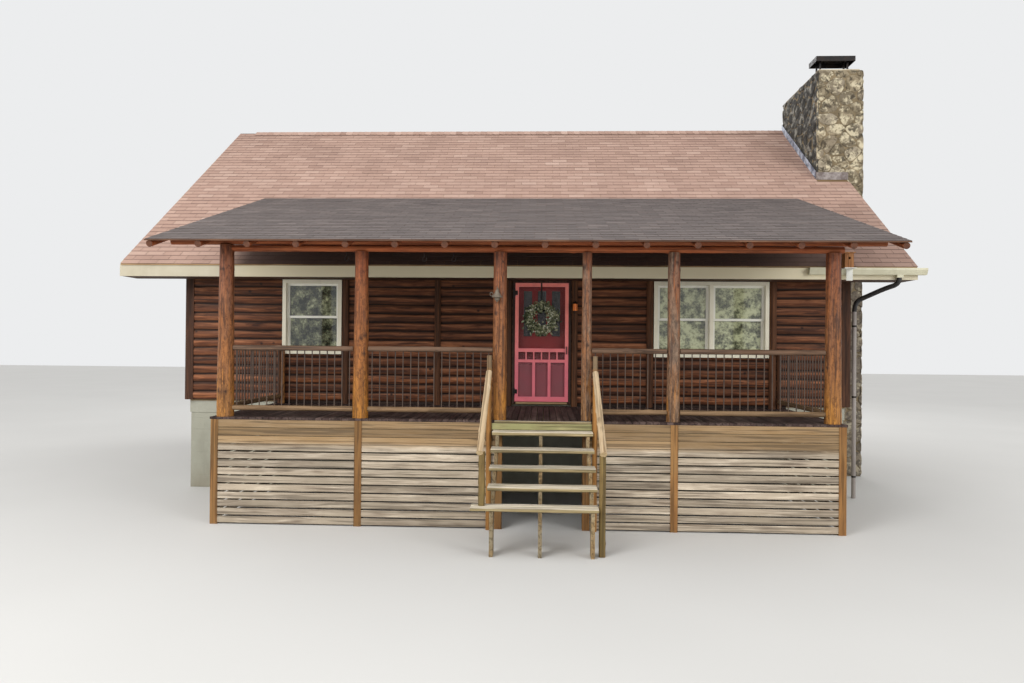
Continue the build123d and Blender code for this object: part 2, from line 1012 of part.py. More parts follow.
def front_door_glass():
    middle = wall_thickness - front_door_thickness / 2
    half = lite_thickness / 2
    return [
        block(x - lite_width / 2, x + lite_width / 2, middle - half, middle + half,
              door_bottom + lite_bottom, door_bottom + lite_bottom + lite_height)
        for x in lite_places()
    ]


def knob(y, outward):
    """A drum knob and its stem on one face of the front door."""
    x = door_width / 2 - knob_inset
    z = door_bottom + knob_height
    back = y + outward * (knob_reach - knob_thickness)
    stem = round_log((x, y, z), (x, back, z), knob_stem / 2)
    return stem + round_log((x, back, z), (x, y + outward * knob_reach, z), knob_diameter / 2)


def front_door_knobs():
    return [knob(wall_thickness - front_door_thickness, -1), knob(wall_thickness, 1)]


# Screen door

def screen_door():
    """A glazed-look frame: open top, a row of short bars and a lower part with two uprights."""
    half = door_width / 2
    back = -mesh_thickness
    front = back - screen_door_thickness
    low, high = door_bottom, door_top
    second = low + screen_second_rail
    middle = low + screen_middle_rail
    leaf = block(-half, half, front, back, low, high)
    inner = half - screen_stile
    holes = [
        (low + screen_bottom_rail, second),
        (second + screen_second_rail_height, middle),
        (middle + screen_middle_rail_height, high - screen_top_rail),
    ]
    for bottom, top in holes:
        leaf -= block(-inner, inner, 2 * front, -front, bottom, top)
    for count, width, (bottom, top) in (
        (long_bar_count, long_bar_width, holes[0]),
        (short_bar_count, short_bar_width, holes[1]),
    ):
        step = 2 * inner / (count + 1)
        for number in range(1, count + 1):
            x = -inner + step * number
            leaf += block(x - width / 2, x + width / 2, front, back, bottom, top)
    return leaf


def screen_mesh():
    """The insect screen, fixed to the back of the screen door."""
    half = door_width / 2 - screen_stile + mesh_lap
    edge = screen_top_rail - mesh_lap
    return block(-half, half, -mesh_thickness, 0, door_bottom + edge, door_top - edge)


def hinge_axis(face, outward):
    """Place of the pins at a door's left edge, in front of the face they stand on."""
    return -door_width / 2 - hinge_pin_inset, face + outward * hinge_pin_offset


def knuckle(x, y, low, high):
    """One length of a hinge's barrel."""
    section = RegularPolygon(hinge_pin_diameter / 2, hinge_sides)
    return extrude(Pos(x, y, low) * section, amount=high - low)


def door_hinges(face, outward):
    """Leaf plates and pins on one face of a door, at its left edge."""
    pin_x, pin_y = hinge_axis(face, outward)
    plate_y = sorted((face, face + outward * hinge_thickness))
    hinges = []
    for z in (door_bottom + hinge_from_end, door_top - hinge_from_end):
        low, high = z - hinge_height / 2, z + hinge_height / 2
        plate = block(pin_x, -door_width / 2 + hinge_width, *plate_y, low, high)
        hinges.append(plate + knuckle(pin_x, pin_y, low, high))
    return hinges


def frame_hinges(face, outward):
    """The fixed leaves on the door frame, with a knuckle above and below each moving pin."""
    pin_x, pin_y = hinge_axis(face, outward)
    radius = hinge_pin_diameter / 2
    right = pin_x - radius - hinge_side_gap
    left = right - hinge_fixed_width
    plate_y = sorted((face, face + outward * hinge_thickness))
    hinges = []
    for z in (door_bottom + hinge_from_end, door_top - hinge_from_end):
        low, high = z - hinge_height / 2, z + hinge_height / 2
        leaf = block(left, right, *plate_y, low - hinge_knuckle, high + hinge_knuckle)
        for start, end in ((low - hinge_knuckle, low - seat_gap), (high + seat_gap, high + hinge_knuckle)):
            leaf += block(right, pin_x, *plate_y, start, end)
            leaf += knuckle(pin_x, pin_y, start, end)
        hinges.append(leaf)
    return hinges


def screen_face():
    return -mesh_thickness - screen_door_thickness


def screen_handle():
    """A pull handle on the right stile."""
    face = screen_face()
    x = door_width / 2 - screen_stile / 2
    z = door_bottom + handle_level
    half, width = handle_height / 2, handle_width / 2
    grip = block(x - width, x + width, face - handle_reach, face - handle_reach + handle_foot,
                 z - half, z + half)
    for low in (z - half, z + half - handle_foot):
        grip += block(x - width, x + width, face - handle_reach, face, low, low + handle_foot)
    return grip


# Windows

def window_frame(centre, width, mullion):
    """Outside casing and lining of a window that faces the front."""
    outer = width / 2
    inner = outer - casing_width
    lining = inner + lining_thickness
    low, high = window_bottom + casing_width, window_top - casing_width
    frame = block(centre - outer, centre + outer, -casing_proud, 0, window_bottom, window_top)
    frame += block(centre - lining, centre + lining, 0, wall_thickness,
                   low - lining_thickness, high + lining_thickness)
    frame -= block(centre - inner, centre + inner, -wall_thickness, 2 * wall_thickness, low, high)
    if mullion:
        half = mullion_width / 2
        frame += block(centre - half, centre + half, -casing_proud, wall_thickness, low, high)
    return frame


def sash(x0, x1, low, high, front):
    """One sliding sash and its pane."""
    back = front + sash_thickness
    hole = (x0 + sash_stile, x1 - sash_stile)
    ring = block(x0, x1, front, back, low, high)
    ring -= block(*hole, front - 1, back + 1, low + meeting_rail, high - meeting_rail)
    middle = (front + back) / 2
    half = pane_thickness / 2
    pane = block(*hole, middle - half, middle + half, low + meeting_rail, high - meeting_rail)
    return ring, pane


def double_hung(x0, x1):
    """Upper and lower sash between two sides, the lower one further in."""
    low, high = window_bottom + casing_width, window_top - casing_width
    middle = (low + high) / 2
    lap = meeting_rail / 2
    upper = sash(x0, x1, middle - lap, high, sash_setback)
    lower = sash(x0, x1, low, middle + lap, sash_setback + sash_thickness + sash_slide_gap)
    return [upper[0], lower[0]], [upper[1], lower[1]]


def single_window(centre):
    half = left_window_width / 2 - casing_width
    sashes, panes = double_hung(centre - half, centre + half)
    return [window_frame(centre, left_window_width, False)], sashes, panes


def twin_window(centre):
    half = right_window_width / 2 - casing_width
    gap = mullion_width / 2
    left = double_hung(centre - half, centre - gap)
    right = double_hung(centre + gap, centre + half)
    frame = window_frame(centre, right_window_width, True)
    return [frame], left[0] + right[0], left[1] + right[1]


def all_windows():
    """Frames, sashes and panes of every window."""
    front = [single_window(left_window_centre), twin_window(right_window_centre)]
    groups = [(pieces, lambda piece: piece) for pieces in front]
    groups += [(pieces, to_back) for pieces in front]
    groups += [
        (single_window(place), lambda piece: turn_to_left(mirror(piece, about=Plane.YZ)))
        for place in side_window_places
    ]
    groups += [(single_window(place), turn_to_right) for place in side_window_places[1:]]
    sets = ([], [], [])
    for pieces, move in groups:
        for kept, made in zip(sets, pieces):
            kept.extend(move(piece) for piece in made)
    return sets


# Chimney

def chimney():
    """A stone mass against the gable wall that narrows to a stack, with its flue."""
    outline = (
        (house_right, ground),
        (house_right, shoulder_bottom),
        (stack_inner, shoulder_top),
        (stack_inner, chimney_top),
        (chimney_outer, chimney_top),
        (chimney_outer, ground),
    )
    mass = along_y(outline, chimney_front, ridge_y)
    middle = (stack_inner + chimney_outer) / 2
    y = chimney_front + flue_back
    half = flue_size / 2
    crown = block(stack_inner + crown_inset, chimney_outer - crown_inset,
                  chimney_front + crown_inset, ridge_y - crown_inset,
                  chimney_top, chimney_top + crown_height)
    flue = block(middle - half, middle + half, y - half, y + half, flue_bottom,
                 chimney_top + 2 * crown_height)
    return mass + crown - flue


def chimney_flashing():
    """Metal upstands along the left side and the front of the stack."""
    x1 = stack_inner - seat_gap
    x0 = x1 - flashing_thickness
    y1 = chimney_front - seat_gap
    y0 = y1 - flashing_thickness
    side = (
        (y0, roof_z(y0)),
        (ridge_y, roof_z(ridge_y)),
        (ridge_y, roof_z(ridge_y) + flashing_height),
        (y0, roof_z(y0) + flashing_height),
    )
    apron = block(x0, roof_right, y0, y1, roof_z(y1), roof_z(y1) + flashing_height)
    return along_x(side, x0, x1) + apron


def chimney_cap():
    """A sheet-metal lid with turned-down sides, on four legs over the flue."""
    x0 = (stack_inner + chimney_outer - cap_width) / 2
    y0 = chimney_front + flue_back - cap_depth / 2
    x1, y1 = x0 + cap_width, y0 + cap_depth
    base = chimney_top + crown_height
    top = base + cap_rise + cap_lip
    lid = block(x0, x1, y0, y1, top - cap_lip, top)
    lid -= block(x0 + cap_thickness, x1 - cap_thickness, y0 + cap_thickness, y1 - cap_thickness,
                 top - 2 * cap_lip, top - cap_thickness)
    inset = crown_inset + cap_leg
    for x in (x0 + inset, x1 - inset - cap_leg):
        for y in (y0 + inset, y1 - inset - cap_leg):
            lid += block(x, x + cap_leg, y, y + cap_leg, base, top - cap_thickness)
    return lid


# Gutter, downspout and fittings

def gutter():
    """A moulded gutter on the right of the front fascia, open at the top."""
    back, front = fascia_face, fascia_face - gutter_depth
    top = gutter_top
    low = top - gutter_height
    sheet = gutter_sheet
    outer = (
        (back, low),
        (back, top),
        (front, top),
        (front, top - gutter_lip_height),
        (front + gutter_base_setback, low),
    )
    inner = (
        (back - sheet, low + sheet),
        (back - sheet, top + sheet),
        (front + sheet, top + sheet),
        (front + sheet, top - gutter_lip_height + sheet / 2),
        (front + gutter_base_setback + sheet / 2, low + sheet),
    )
    return along_x(outer, gutter_left, gutter_right) - along_x(
        inner, gutter_left + sheet, gutter_right - sheet)


def gutter_outlet():
    half = outlet_width / 2
    front = fascia_face - outlet_setback - outlet_depth / 2
    low = gutter_top - gutter_height
    return block(outlet_place - half, outlet_place + half, front, front + outlet_depth,
                 low - outlet_height, low)


def downspout():
    """A pipe that swings in from the gutter's outlet and runs down the corner."""
    radius = spout_diameter / 2
    top = gutter_top - gutter_height - outlet_height
    y = fascia_face - outlet_setback
    wall_x = house_right + radius + spout_clearance
    wall_y = wall_thickness / 2
    path = Polyline(
        (outlet_place, y, top),
        (outlet_place, y, top - spout_drop),
        (wall_x, wall_y, spout_turn_height),
        (wall_x, wall_y, ground),
    )
    section = Plane(origin=path @ 0, z_dir=(0, 0, -1)) * Circle(radius)
    return sweep(section, path=path, transition=Transition.RIGHT)


def bracket_back():
    """The back of the board behind the nesting box, just clear of the gutter."""
    return fascia_face - gutter_depth - seat_gap


def bird_box():
    """A hollow nesting box with a flat roof and an entrance hole."""
    x0, x1 = box_place - box_width / 2, box_place + box_width / 2
    base = gutter_top + box_lift
    y1 = bracket_back() - bracket_thickness - seat_gap
    y0 = y1 - box_depth
    top = base + box_height
    over = box_roof_overhang
    wall = box_wall
    body = block(x0, x1, y0, y1, base, top)
    body -= block(x0 + wall, x1 - wall, y0 + wall, y1 - wall, base + wall, top)
    hole_z = base + box_hole_height
    body -= round_log((box_place, y0 - over, hole_z), (box_place, y0 + 2 * wall, hole_z),
                      box_hole_diameter / 2)
    return body + block(x0 - over, x1 + over, y0 - over, y1, top, top + box_roof_thickness)


def box_bracket():
    """The board on the gutter's face behind the nesting box, with the shelf that the box stands on."""
    x1 = box_place + bracket_shift + bracket_width / 2
    y1 = bracket_back()
    face = y1 - bracket_thickness
    base = gutter_top + box_lift
    low = base - bracket_drop
    board = block(x1 - bracket_width, x1, face, y1, low, low + bracket_height)
    shelf_top = base - seat_gap
    return board + block(box_place - box_width / 2, x1, face - box_depth, face,
                         shelf_top - bracket_thickness, shelf_top)


def wall_lantern():
    """A wall lantern beside the door: back plate, arm, six-sided body and pointed roof."""
    face = -upright_depth - seat_gap
    x, z = lantern_place, lantern_centre
    half = lantern_plate_width / 2
    rise = lantern_plate_height / 2
    lantern = block(x - half, x + half, face - lantern_plate_thickness, face, z - rise, z + rise)
    arm = lantern_arm_size / 2
    arm_z = z - lantern_glass_height / 2 - lantern_base_height
    middle = face - lantern_reach
    lantern += block(x - arm, x + arm, middle, face, arm_z - arm, arm_z + arm)
    body = Pos(x, middle, arm_z) * extrude(
        RegularPolygon(lantern_glass_width / 2, 6), amount=lantern_glass_height + lantern_base_height)
    roof = Pos(x, middle, z + lantern_glass_height / 2) * extrude(
        RegularPolygon(lantern_roof_width / 2, 6), amount=lantern_roof_height, taper=lantern_roof_taper)
    return lantern + body + roof


# Where the finished frame's origin lies
front_reach = stair_front
back_reach = house_depth + eave_overhang
middle_x = (chimney_outer - roof_left) / 2
middle_y = (front_reach + back_reach) / 2
to_origin = Pos(-middle_x, -middle_y, porch_height)


def save(name, pieces):
    """Write one node, its solids side by side where it has several."""
    if not isinstance(pieces, (list, tuple)):
        pieces = [pieces]
    solids = [to_origin * solid for piece in pieces for solid in piece.solids()]
    shape = solids[0] if len(solids) == 1 else Compound(children=solids)
    export_step(shape, f"parts/{name}.step")


def build():
    save("foundation_walls", foundation_walls())
    save("floor_frame", floor_frame())
    save("subfloor", subfloor())
    save("cabin_floor", cabin_floor())

    for name, wall in zip(("front_wall_left", "front_wall_right", "front_wall_over_door"), front_walls()):
        save(name, wall)
    save("back_wall", back_wall())
    for name, wall in zip(("left_gable_wall", "right_gable_wall"), gable_walls()):
        save(name, wall)
    save("corner_posts", corner_posts())
    save("wall_uprights", wall_uprights())

    for name, slab in zip(("main_roof_front", "main_roof_back"), main_roof()):
        save(name, slab)
    save("barge_boards", barge_boards())
    save("fascias", [fascia(), to_back(fascia())])
    save("soffits", [soffit(), to_back(soffit())])
    save("ridge_vent", ridge_vent())

    save("porch_roof", porch_roof())
    save("porch_rafters", porch_rafters())
    save("porch_beam", porch_beam())
    save("porch_posts", [porch_post(number) for number in range(len(porch_posts))])

    save("porch_deck", porch_deck())
    save("porch_joists", porch_joists())
    save("deck_posts", deck_posts())
    bay = stair_bay()
    save("skirting_front_left", front_skirting(0, bay))
    save("skirting_front_right", front_skirting(bay + 1, len(porch_posts) - 1))
    save("skirting_left", side_skirting(-porch_left))
    save("skirting_right", side_skirting(porch_right - skirt_thickness))

    panels = [number for number in range(len(porch_posts) - 1) if number != bay]
    for count, number in enumerate(panels, start=1):
        save(f"railing_front_{count}", front_railing(number))
    save("railing_left", side_railing(0, -side_rail_left))
    save("railing_right", side_railing(len(porch_posts) - 1, side_rail_right))

    save("stair_stringers", stair_stringers())
    save("stair_treads", stair_treads())
    save("stair_newels", stair_newels())
    save("handrails", handrails())

    save("door_frame", door_frame())
    save("door_threshold", door_threshold())
    save("frame_hinges", frame_hinges(-frame_proud, -1) + frame_hinges(wall_thickness, 1))
    save("front_door", front_door())
    save("front_door_glass", front_door_glass())
    save("front_door_hardware", front_door_knobs() + door_hinges(wall_thickness, 1))
    save("screen_door", screen_door())
    save("screen_mesh", screen_mesh())
    save("screen_door_hardware", door_hinges(screen_face(), -1) + [screen_handle()])

    for name, pieces in zip(("window_frames", "window_sashes", "window_glass"), all_windows()):
        save(name, pieces)

    save("chimney", chimney())
    save("chimney_flashing", chimney_flashing())
    save("chimney_cap", chimney_cap())
    save("gutter", gutter() + gutter_outlet())
    save("downspout", downspout())
    save("bird_box", bird_box())
    save("box_bracket", box_bracket())
    save("wall_lantern", wall_lantern())


build()
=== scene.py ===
import json
import random
from math import cos, exp, hypot, pi, radians, sin, sqrt

import bmesh
import bpy
from mathutils import Matrix, Vector, noise


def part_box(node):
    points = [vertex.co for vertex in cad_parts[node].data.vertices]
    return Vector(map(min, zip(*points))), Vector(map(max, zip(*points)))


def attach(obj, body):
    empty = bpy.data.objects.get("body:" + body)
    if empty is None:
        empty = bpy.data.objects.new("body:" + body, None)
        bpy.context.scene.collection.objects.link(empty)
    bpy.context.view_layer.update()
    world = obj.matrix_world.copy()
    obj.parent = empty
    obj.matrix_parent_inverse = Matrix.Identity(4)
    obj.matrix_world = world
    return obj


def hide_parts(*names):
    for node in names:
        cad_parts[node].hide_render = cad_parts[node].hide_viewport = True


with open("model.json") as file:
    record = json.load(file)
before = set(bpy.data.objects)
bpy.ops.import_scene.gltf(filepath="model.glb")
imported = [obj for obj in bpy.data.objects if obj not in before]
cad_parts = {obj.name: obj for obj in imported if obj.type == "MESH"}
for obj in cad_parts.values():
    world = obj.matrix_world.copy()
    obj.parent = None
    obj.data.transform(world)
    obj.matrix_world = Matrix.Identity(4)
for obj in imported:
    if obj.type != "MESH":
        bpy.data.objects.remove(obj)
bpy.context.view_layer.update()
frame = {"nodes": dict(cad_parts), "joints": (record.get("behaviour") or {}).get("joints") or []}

# The house's own axes: centre of the front door, crown of the front logs, top of the porch floor
door_low, door_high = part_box("screen_door")
door_body = next(joint["child"] for joint in frame["joints"] if "screen" in joint["name"])
house = Vector((
    (door_low.x + door_high.x) / 2,
    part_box("front_wall_left")[0].y,
    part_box("porch_deck")[1].z,
))

# Sizes and places that the pieces share, in metres and in the house's own axes
WALL_LEFT, WALL_RIGHT, HOUSE_DEPTH = -6.258, 5.230, 8.638
WALL_BASE, WALL_TOP, WALL_THICKNESS = 0.044, 2.45, 0.165
WALL_COURSES, GABLE_COURSES = 16, 40
LOG_HEIGHT, LOG_GROOVE, LOG_HOLLOW = 0.1524, 0.024, 0.034
OPENING_TOP = 2.150
WINDOW_SILL, WINDOW_CASING = 0.860, 0.038
SINGLE_HALF, TWIN_HALF, DOOR_HALF = 0.4805, 0.9295, 0.503
SINGLE_WINDOW, TWIN_WINDOW = -3.990, 2.876
GABLE_WINDOWS = (2.3, 6.3)

ROOF_SLOPE, PORCH_SLOPE = 0.75, 1 / 3
ROOF_LEFT, ROOF_RIGHT = -7.134, 6.064
EAVE_REACH, EAVE_HEIGHT = 0.505, 2.360
RIDGE = (4.319, 5.978)
ROOF_DROP = 0.2125
PORCH_ROOF_SPAN, PORCH_ROOF_THICKNESS = (-5.436, 4.831), 0.018
PORCH_EAVE = (-2.775, 2.447)
PORCH_RIDGE = (1.515, 2.447 + PORCH_SLOPE * 4.290)
SHINGLE_EXPOSURE, SHINGLE_TAB, SHINGLE_THICKNESS = 0.143, 0.305, 0.006

POST_LINE = -2.324
POSTS = (  # place, diameter at the foot and at the head, share of grey
    (-4.480, 0.244, 0.199, 0.25),
    (-2.543, 0.222, 0.192, 0.0),
    (-0.584, 0.202, 0.190, 0.2),
    (0.625, 0.148, 0.138, 0.9),
    (1.826, 0.190, 0.172, 1.0),
    (3.999, 0.228, 0.201, 0.2),
)
PLATE_DIAMETER, BEAM_DIAMETER, RAFTER_DIAMETER = 0.098, 0.096, 0.095
BEAM_RIGHT = 4.135
RAFTER_FOOT, RAFTER_HEAD, RAFTER_BAYS = -2.745, 1.45, 15
DECK_FRONT, DECK_PITCH, DECK_GAP = -2.444, 0.094, 0.005
BAR_PITCH, BAR_HALF = 0.107, 0.007

STACK_INNER, CHIMNEY_OUTER = 5.450, 6.370
CHIMNEY_FRONT, CHIMNEY_BACK = 2.210, 4.319
STONE_WIDTH, STONE_HEIGHT, STONE_RELIEF = 0.36, 0.23, 0.024
MORTAR_JOINT = 0.007

SCREEN_PITCH = 0.0016
EDGE_EASE = 0.0025

CAMERA_TURN = (0.0411, 0.006, 0.0089)
CAMERA_PLACE = (0.0017, -12.4232, 1.031)
CAMERA_LENS = 25.42
LAMPS = (  # name, place in the frame, size, power in watts
    ("key", (-8.0, -17.0, 12.0), 8.0, 1450),
    ("fill", (22.0, -24.0, 11.0), 12.0, 2500),
    ("side", (-22.0, -24.0, 10.0), 12.0, 1450),
    ("rim", (4.0, 17.0, 13.0), 9.0, 1100),
)
LAMPS_AIM = (0, 0, 2.5)
FLOOR_REACH = 60


# Materials. A colour is three numbers from 0 to 255, as a screen shows it, or four as the shader wants it.

def colour(shade):
    """A screen colour as the shader wants it; a socket or a shader's colour stays as it is."""
    if not isinstance(shade, tuple) or len(shade) != 3:
        return shade
    parts = [value / 255 for value in shade]
    return (*(part / 12.92 if part <= 0.04045 else ((part + 0.055) / 1.055) ** 2.4 for part in parts), 1)


def spaced(*shades):
    """Colours at even places from 0 to 1, for a ramp."""
    return [(number / (len(shades) - 1), shade) for number, shade in enumerate(shades)]


class Finish:
    """One procedural material: its colour so far, base, and short ways to add nodes to it."""

    def __init__(self, name, roughness=0.6, metallic=0.0, specular=0.5):
        self.material = bpy.data.materials.new(name)
        self.material.use_nodes = True
        self.tree = self.material.node_tree
        self.shader = self.tree.nodes["Principled BSDF"]
        self.base = None
        self.shader.inputs["Roughness"].default_value = roughness
        self.shader.inputs["Metallic"].default_value = metallic
        self.shader.inputs["Specular IOR Level"].default_value = specular

    def fill(self, socket, value):
        """Link a socket to another, or set its value."""
        if isinstance(value, bpy.types.NodeSocket):
            self.tree.links.new(value, socket)
        else:
            socket.default_value = value

    def node(self, kind, inputs=None, **settings):
        """A node with its settings and then its inputs filled in."""
        made = self.tree.nodes.new("ShaderNode" + kind)
        for name, value in settings.items():
            setattr(made, name, value)
        for socket, value in (inputs or {}).items():
            self.fill(made.inputs[socket], value)
        return made

    def place(self):
        return self.node("TexCoord").outputs["Object"]

    def attribute(self, name, output="Fac"):
        return self.node("Attribute", attribute_name=name).outputs[output]

    def math(self, operation, first, second=0.0):
        return self.node("Math", {0: first, 1: second}, operation=operation).outputs[0]

    def times(self, first, second):
        return self.math("MULTIPLY", first, second)

    def plus(self, first, second):
        return self.math("ADD", first, second)

    def minus(self, first, second):
        return self.math("SUBTRACT", first, second)

    def axis(self, vector, name):
        return self.node("SeparateXYZ", {0: vector}).outputs[name]

    def stretch(self, vector, scale):
        return self.node("VectorMath", {0: vector, 1: scale}, operation="MULTIPLY").outputs[0]

    def noise(self, vector, scale, detail=4.0, roughness=0.55, distortion=0.0, grain=None):
        """Cloudy noise; grain, such as 0.1, draws it out along Z, there to ten times its length."""
        if grain is not None:
            vector = self.stretch(vector, (1, 1, grain))
        return self.node("TexNoise", {
            "Vector": vector, "Scale": scale, "Detail": detail, "Roughness": roughness,
            "Distortion": distortion,
        }).outputs["Fac"]

    def cells(self, vector, scale):
        return self.node("TexVoronoi", {"Vector": vector, "Scale": scale}).outputs["Distance"]

    def random(self, value):
        return self.node("TexWhiteNoise", {"W": value}, noise_dimensions="1D").outputs["Value"]

    def ramp(self, value, *stops):
        """Colours along a 0 to 1 value: (place, colour) pairs."""
        made = self.node("ValToRGB", {0: value})
        band = made.color_ramp
        while len(band.elements) < len(stops):
            band.elements.new(0.5)
        for element, (place, shade) in zip(band.elements, stops):
            element.position = place
            element.color = colour(shade)
        return made.outputs[0]

    def between(self, value, low, high, start=0.0, end=1.0):
        """The value's place between low and high, given as start to end and kept there."""
        return self.node("MapRange", {
            "Value": value, "From Min": low, "From Max": high, "To Min": start, "To Max": end,
        }, clamp=True).outputs["Result"]

    def fade(self, value, low, high, *shades):
        """Evenly spaced colours from one value to another."""
        return self.ramp(self.between(value, low, high), *spaced(*shades))

    def mix(self, factor, first, second, blend="MIX"):
        inputs = {0: factor, 6: colour(first), 7: colour(second)}
        return self.node("Mix", inputs, data_type="RGBA", blend_type=blend).outputs[2]

    def wash(self, shade, factor):
        """Lay a colour over the base by a factor."""
        self.base = self.mix(factor, self.base, shade)

    def lay(self, shade, value, low, high, at_high=1.0, at_low=0.0):
        """Lay a colour over the base, by a share that a value sets as it goes from low to high."""
        self.wash(shade, self.between(value, low, high, at_low, at_high))

    def tint(self, value, dark, light):
        """Multiply the base by a colour between two that a 0 to 1 value picks."""
        self.base = self.mix(1.0, self.base, self.ramp(value, *spaced(dark, light)), "MULTIPLY")

    def bump(self, height, distance, strength=1.0):
        return self.node("Bump", {"Strength": strength, "Distance": distance, "Height": height}).outputs[0]

    def finish(self, roughness=None, normal=None):
        for socket, value in (("Base Color", self.base), ("Roughness", roughness), ("Normal", normal)):
            if value is not None:
                self.fill(self.shader.inputs[socket], value)
        return self.material


def grain_along(paint, axis):
    """Coordinates whose Z runs along the grain: the piece's own, or the frame's turned."""
    if axis == "own":
        return paint.attribute("grain", "Vector")
    place = paint.place()
    if axis == "z":
        return place
    turned = {name: paint.axis(place, source) for name, source in zip("XYZ", {"x": "YZX", "y": "XZY"}[axis])}
    return paint.node("CombineXYZ", turned).outputs[0]


def wood(name, dark, light, axis="own", weather=None, roughness=0.7, boards=None, top=None, head=None):
    """Wood with grain, drying cracks, blotches and a shade of its own for each log or board.

    weather is a third colour that takes over in patches. boards is the axis and step at which
    boards follow each other on a CAD node; a dressed piece has its own tone for each. top is a
    painted highlight, the paler colour of faces that look up; head a height and the colour above it.
    """
    paint = Finish(name, roughness, specular=0.25)
    dark = colour(dark)
    along = grain_along(paint, axis)
    fibre = paint.noise(along, 95, 5, 0.62, grain=0.035)
    figure = paint.noise(along, 17, 4, 0.6, 0.8, grain=0.09)
    groove = paint.between(paint.noise(along, 34, 3, 0.45, 0.4, grain=0.022), 0.53, 0.585)
    value = paint.plus(paint.times(fibre, 0.38), paint.times(figure, 0.62))
    paint.base = paint.fade(value, 0.33, 0.67, dark, light)
    paint.lay(dark, paint.noise(along, 2.3, 3, 0.5), 0.35, 0.7, 0.45)
    if weather:
        paint.lay(weather, paint.noise(along, 4.6, 4, 0.6, grain=0.35), 0.42, 0.62, 0.85)
    # Painted highlight: faces that look up are washed paler, as if lit from above.
    if top:
        upward_highlight = paint.axis(paint.node("NewGeometry").outputs["Normal"], "Z")
        patchy = paint.between(figure, 0.35, 0.65, 1.0, 0.5)
        paint.wash(top, paint.times(paint.between(upward_highlight, 0.4, 0.8, 0.0, 0.95), patchy))
    if head:
        height, grey = head
        paint.lay(grey, paint.axis(paint.place(), "Z"), height - 0.04, height + 0.04, 0.8)
    tone = paint.attribute("tone") if boards is None else board_tone(paint, *boards)
    paint.tint(tone, (0.7, 0.7, 0.7, 1), (1.2, 1.2, 1.2, 1))
    paint.wash(tuple(part * 0.25 for part in dark[:3]) + (1,), paint.times(groove, 0.5))
    height = paint.minus(paint.times(fibre, 0.6), paint.times(groove, 0.8))
    rough = paint.between(fibre, 0.3, 0.7, roughness - 0.08, roughness + 0.12)
    return paint.finish(rough, paint.bump(height, 0.0012))


def board_tone(paint, across, step):
    """A tone for each board of a CAD node, from its place along an axis."""
    return paint.random(paint.math("FLOOR", paint.math("DIVIDE", paint.axis(paint.place(), across), step)))


def end_grain(name, dark, light):
    """Growth rings and stains on a log's cut end."""
    paint = Finish(name, 0.85)
    grain = paint.attribute("grain", "Vector")
    rings = paint.plus(paint.times(paint.attribute("ring"), 60), paint.times(paint.noise(grain, 30, 3), 9))
    wave = paint.math("SINE", rings)
    paint.base = paint.fade(wave, -1, 1, dark, light)
    paint.lay(dark, paint.noise(grain, 14, 4), 0.45, 0.7, 0.7)
    return paint.finish(normal=paint.bump(wave, 0.0008, 0.5))


def stained_logs():
    """Dark red-brown logs, with a painted highlight on the upper half of each log and painted shade in the
    creases between them.
    """
    paint = Finish("stained_logs", 0.62, specular=0.25)
    along = paint.attribute("grain", "Vector")
    fibre = paint.noise(along, 80, 5, 0.62, grain=0.03)
    figure = paint.noise(along, 14, 4, 0.6, 1.0, grain=0.1)
    groove = paint.between(paint.noise(along, 26, 3, 0.45, 0.5, grain=0.02), 0.54, 0.59)
    value = paint.plus(paint.times(fibre, 0.45), paint.times(figure, 0.55))
    paint.base = paint.fade(value, 0.34, 0.68, (54, 29, 16), (96, 54, 30), (146, 94, 60))
    # Painted highlight: the upper half of each log is laid paler, as if lit from above.
    worn = paint.between(paint.attribute("ring"), 0.4, 0.8, 0.0, 0.55)
    paint.wash((168, 112, 78), paint.times(worn, paint.between(figure, 0.35, 0.62)))
    # Painted shade: darker toward the crease where one log meets the next.
    paint.lay((16, 9, 6), paint.attribute("crown"), 0.04, 0.5, 0.0, 0.95)
    paint.tint(paint.attribute("tone"), (0.72, 0.68, 0.66, 1), (1.3, 1.28, 1.25, 1))
    paint.lay((30, 17, 12), paint.cells(paint.stretch(along, (1, 1, 0.8)), 3.1), 0.04, 0.09, 0.0, 0.9)
    paint.wash((30, 17, 12), paint.times(groove, 0.6))
    height = paint.minus(paint.times(fibre, 0.6), groove)
    return paint.finish(paint.between(fibre, 0.3, 0.7, 0.5, 0.75), paint.bump(height, 0.002))


def peeled_post_wood():
    """Oiled peeled logs: orange near the foot, red-brown above, with dark knots and checks."""
    paint = Finish("peeled_post_wood", 0.55, specular=0.3)
    along = paint.attribute("grain", "Vector")
    height = paint.between(paint.axis(paint.place(), "Z"), house.z, house.z + 2.3)
    fibre = paint.noise(along, 70, 5, 0.6, grain=0.04)
    figure = paint.noise(along, 13, 4, 0.6, 0.9, grain=0.12)
    flecks = paint.noise(along, 26, 5, 0.75, 0.8, grain=0.4)
    groove = paint.between(paint.noise(along, 30, 3, 0.45, 0.6, grain=0.05), 0.58, 0.62)
    wander = paint.plus(height, paint.times(paint.minus(figure, 0.5), 0.5))
    paint.base = paint.ramp(wander, (0.0, (186, 126, 48)), (0.3, (160, 102, 50)), (0.7, (146, 88, 48)),
                            (1.0, (140, 74, 40)))
    dark = paint.mix(1.0, paint.base, (0.30, 0.26, 0.24, 1), "MULTIPLY")
    paint.lay(dark, fibre, 0.38, 0.62, 0.0, 0.8)
    paint.lay(dark, flecks, 0.48, 0.6, 0.85)
    grey = paint.mix(paint.between(flecks, 0.4, 0.6), (132, 108, 88), (78, 62, 50))
    paint.wash(grey, paint.times(paint.attribute("tone"), paint.between(figure, 0.35, 0.6)))
    paint.lay((48, 26, 16), paint.attribute("knot"), 0.1, 0.8, 0.9)
    paint.wash((50, 28, 18), paint.times(groove, 0.6))
    rise = paint.minus(paint.times(flecks, -0.6), groove)
    return paint.finish(paint.between(fibre, 0.3, 0.7, 0.42, 0.68), paint.bump(rise, 0.0018))


